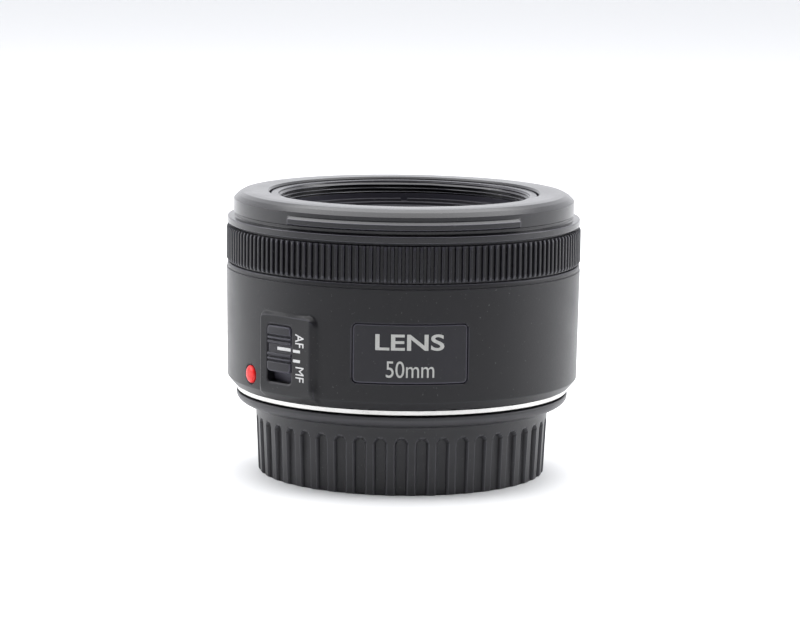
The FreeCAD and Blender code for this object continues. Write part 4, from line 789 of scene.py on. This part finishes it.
def bar(name, centre, width, tall, face, body, slot):
    """A printed stroke on the pad or on the knob."""
    place = flat_frame(PAD_BEARING)
    across, height = centre
    points, faces = patch(width / 2, height - tall / 2, height + tall / 2, tall * 0.2, 0.01, 5, 3,
                          lambda x, y: face(x + across, y) + 0.014, lambda x, y: face(x + across, y) - 0.05,
                          lambda x, out, y: place(x + across, out, y))
    piece(name, points, faces, body, slot, look=PRINT_WHITE)


def make_lettering():
    lettering("plate_word", "LENS", 4.0, on_plate(-0.1, 30.4), "barrel", "plate_plastic", PRINT_SILVER,
              bold=0.07, stretch=(1.5, 1.05))
    lettering("plate_focal_length", "50mm", 4.0, on_plate(0.0, 25.3), "barrel", "plate_plastic", PRINT_SILVER,
              stretch=(0.93, 1.12))
    lettering("switch_AF", "AF", 2.75, on_pad(5.3, 29.65), "barrel", "barrel_plastic", PRINT_WHITE, bold=0.02,
              turn=-90, stretch=(0.82, 1.12))
    lettering("switch_MF", "MF", 2.75, on_pad(5.4, 23.25), "barrel", "barrel_plastic", PRINT_WHITE, bold=0.0,
              turn=-90, stretch=(0.9, 1.12))
    for name, height in (("tick_AF", 27.6), ("tick_MF", 25.75)):
        bar(name, (4.55, height), 1.85, 0.55, lambda x, y: x * 0 + PAD_FACE, "barrel", "barrel_plastic")
    bar("knob_line", (1.17, 27.65), 3.4, 0.62, knob_face, "switch", "knob_plastic")


# ---------------------------------------------------------------- carried-over nodes


def dress_nodes():
    """Gives every CAD node its record slot's material, and the slider a paler one so that its slot reads."""
    slots = {row["node"]: row["material_slot"] for row in frame["record"]["subparts"]}
    for name, node in NODES.items():
        node.data.materials.clear()
        node.data.materials.append(SLIDER_LOOK if name == "switch_slider" else LOOKS[slots[name]])


# ---------------------------------------------------------------- stage


def make_stage():
    mesh = bpy.data.meshes.new("floor")
    mesh.from_pydata([(-4, -3, 0), (4, -3, 0), (4, 9, 0), (-4, 9, 0)], [], [[0, 1, 2, 3]])
    floor = bpy.data.objects.new("floor", mesh)
    bpy.context.scene.collection.objects.link(floor)
    n = Nodes("floor_white")
    n.set(n.shader, Roughness=0.6)
    n.shader.inputs["Base Color"].default_value = (0.84, 0.845, 0.85, 1)
    n.shader.inputs["Specular IOR Level"].default_value = 0.2
    mesh.materials.append(n.material)
    floor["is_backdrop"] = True


def area_light(name, place, target, width, tall, power):
    light = bpy.data.lights.new(name, "AREA")
    light.shape, light.size, light.size_y, light.energy = "RECTANGLE", width, tall, power
    made = bpy.data.objects.new(name, light)
    made.location = place
    made.rotation_mode = "QUATERNION"
    made.rotation_quaternion = (Vector(target) - Vector(place)).to_track_quat("-Z", "Y")
    bpy.context.scene.collection.objects.link(made)


def make_lights():
    """A white tent that is bright behind and beside the object and dim in front, with soft panels."""
    world = bpy.data.worlds.new("studio")
    world.use_nodes = True
    tree = world.node_tree
    background = tree.nodes["Background"]
    background.inputs["Color"].default_value = (0.96, 0.968, 1.0, 1)
    direction, split = tree.nodes.new("ShaderNodeTexCoord"), tree.nodes.new("ShaderNodeSeparateXYZ")
    fade = tree.nodes.new("ShaderNodeMapRange")
    fade.interpolation_type = "SMOOTHSTEP"
    for key, value in (("From Min", -0.75), ("From Max", 0.3), ("To Min", 0.12), ("To Max", 1.47)):
        fade.inputs[key].default_value = value
    tree.links.new(direction.outputs["Generated"], split.inputs["Vector"])
    tree.links.new(split.outputs["Y"], fade.inputs["Value"])
    tree.links.new(fade.outputs["Result"], background.inputs["Strength"])
    bpy.context.scene.world = world
    area_light("overhead", (0.0, 0.12, 0.65), (0, 0.12, 0), 1.1, 0.8, 9)
    area_light("side_left", (-1.1, 0.1, 0.3), (0, 0, 0.03), 0.5, 0.4, 2.5)
    area_light("side_right", (1.1, 0.1, 0.3), (0, 0, 0.03), 0.5, 0.4, 2.5)
    area_light("front_glint_left", (-0.25, -0.9, 0.75), (0, 0, 0.03), 0.1, 0.1, 0.35)
    area_light("front_glint_right", (0.22, -0.9, 0.8), (0, 0, 0.03), 0.1, 0.1, 0.35)


def make_camera():
    """The camera at the photograph's angle: a long lens a little above the object."""
    elevation, distance, roll = math.radians(8.5), 0.6385, math.radians(0.72)
    target = Vector((-0.00052, 0, 0.03037))
    data = bpy.data.cameras.new("camera")
    data.sensor_fit, data.sensor_width, data.lens = "HORIZONTAL", 36.0, 146.34
    data.clip_start, data.clip_end = 0.05, 30
    camera = bpy.data.objects.new("camera", data)
    camera.location = target + Vector((0, -math.cos(elevation), math.sin(elevation))) * distance
    forward = Vector((0, math.cos(elevation), -math.sin(elevation)))
    right = Vector((1, 0, 0))
    up = right.cross(forward)
    right, up = right * math.cos(roll) + up * math.sin(roll), up * math.cos(roll) - right * math.sin(roll)
    camera.rotation_mode = "QUATERNION"
    camera.rotation_quaternion = Matrix((right, up, -forward)).transposed().to_quaternion()
    bpy.context.scene.collection.objects.link(camera)
    bpy.context.scene.camera = camera
    bpy.context.scene.view_settings.view_transform = "Standard"


dress_nodes()
make_barrel()
make_plate()
make_index_dot()
make_knob()
make_focus_ring()
make_front_cover()
make_rear_cap()
make_inner_barrel()
make_trim_ring()
make_front_element()
make_lettering()
make_stage()
make_lights()
make_camera()

boxes = {"cad": CAD_BOX, "visual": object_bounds()}
{name: [list(low), list(high)] for name, (low, high) in boxes.items()}
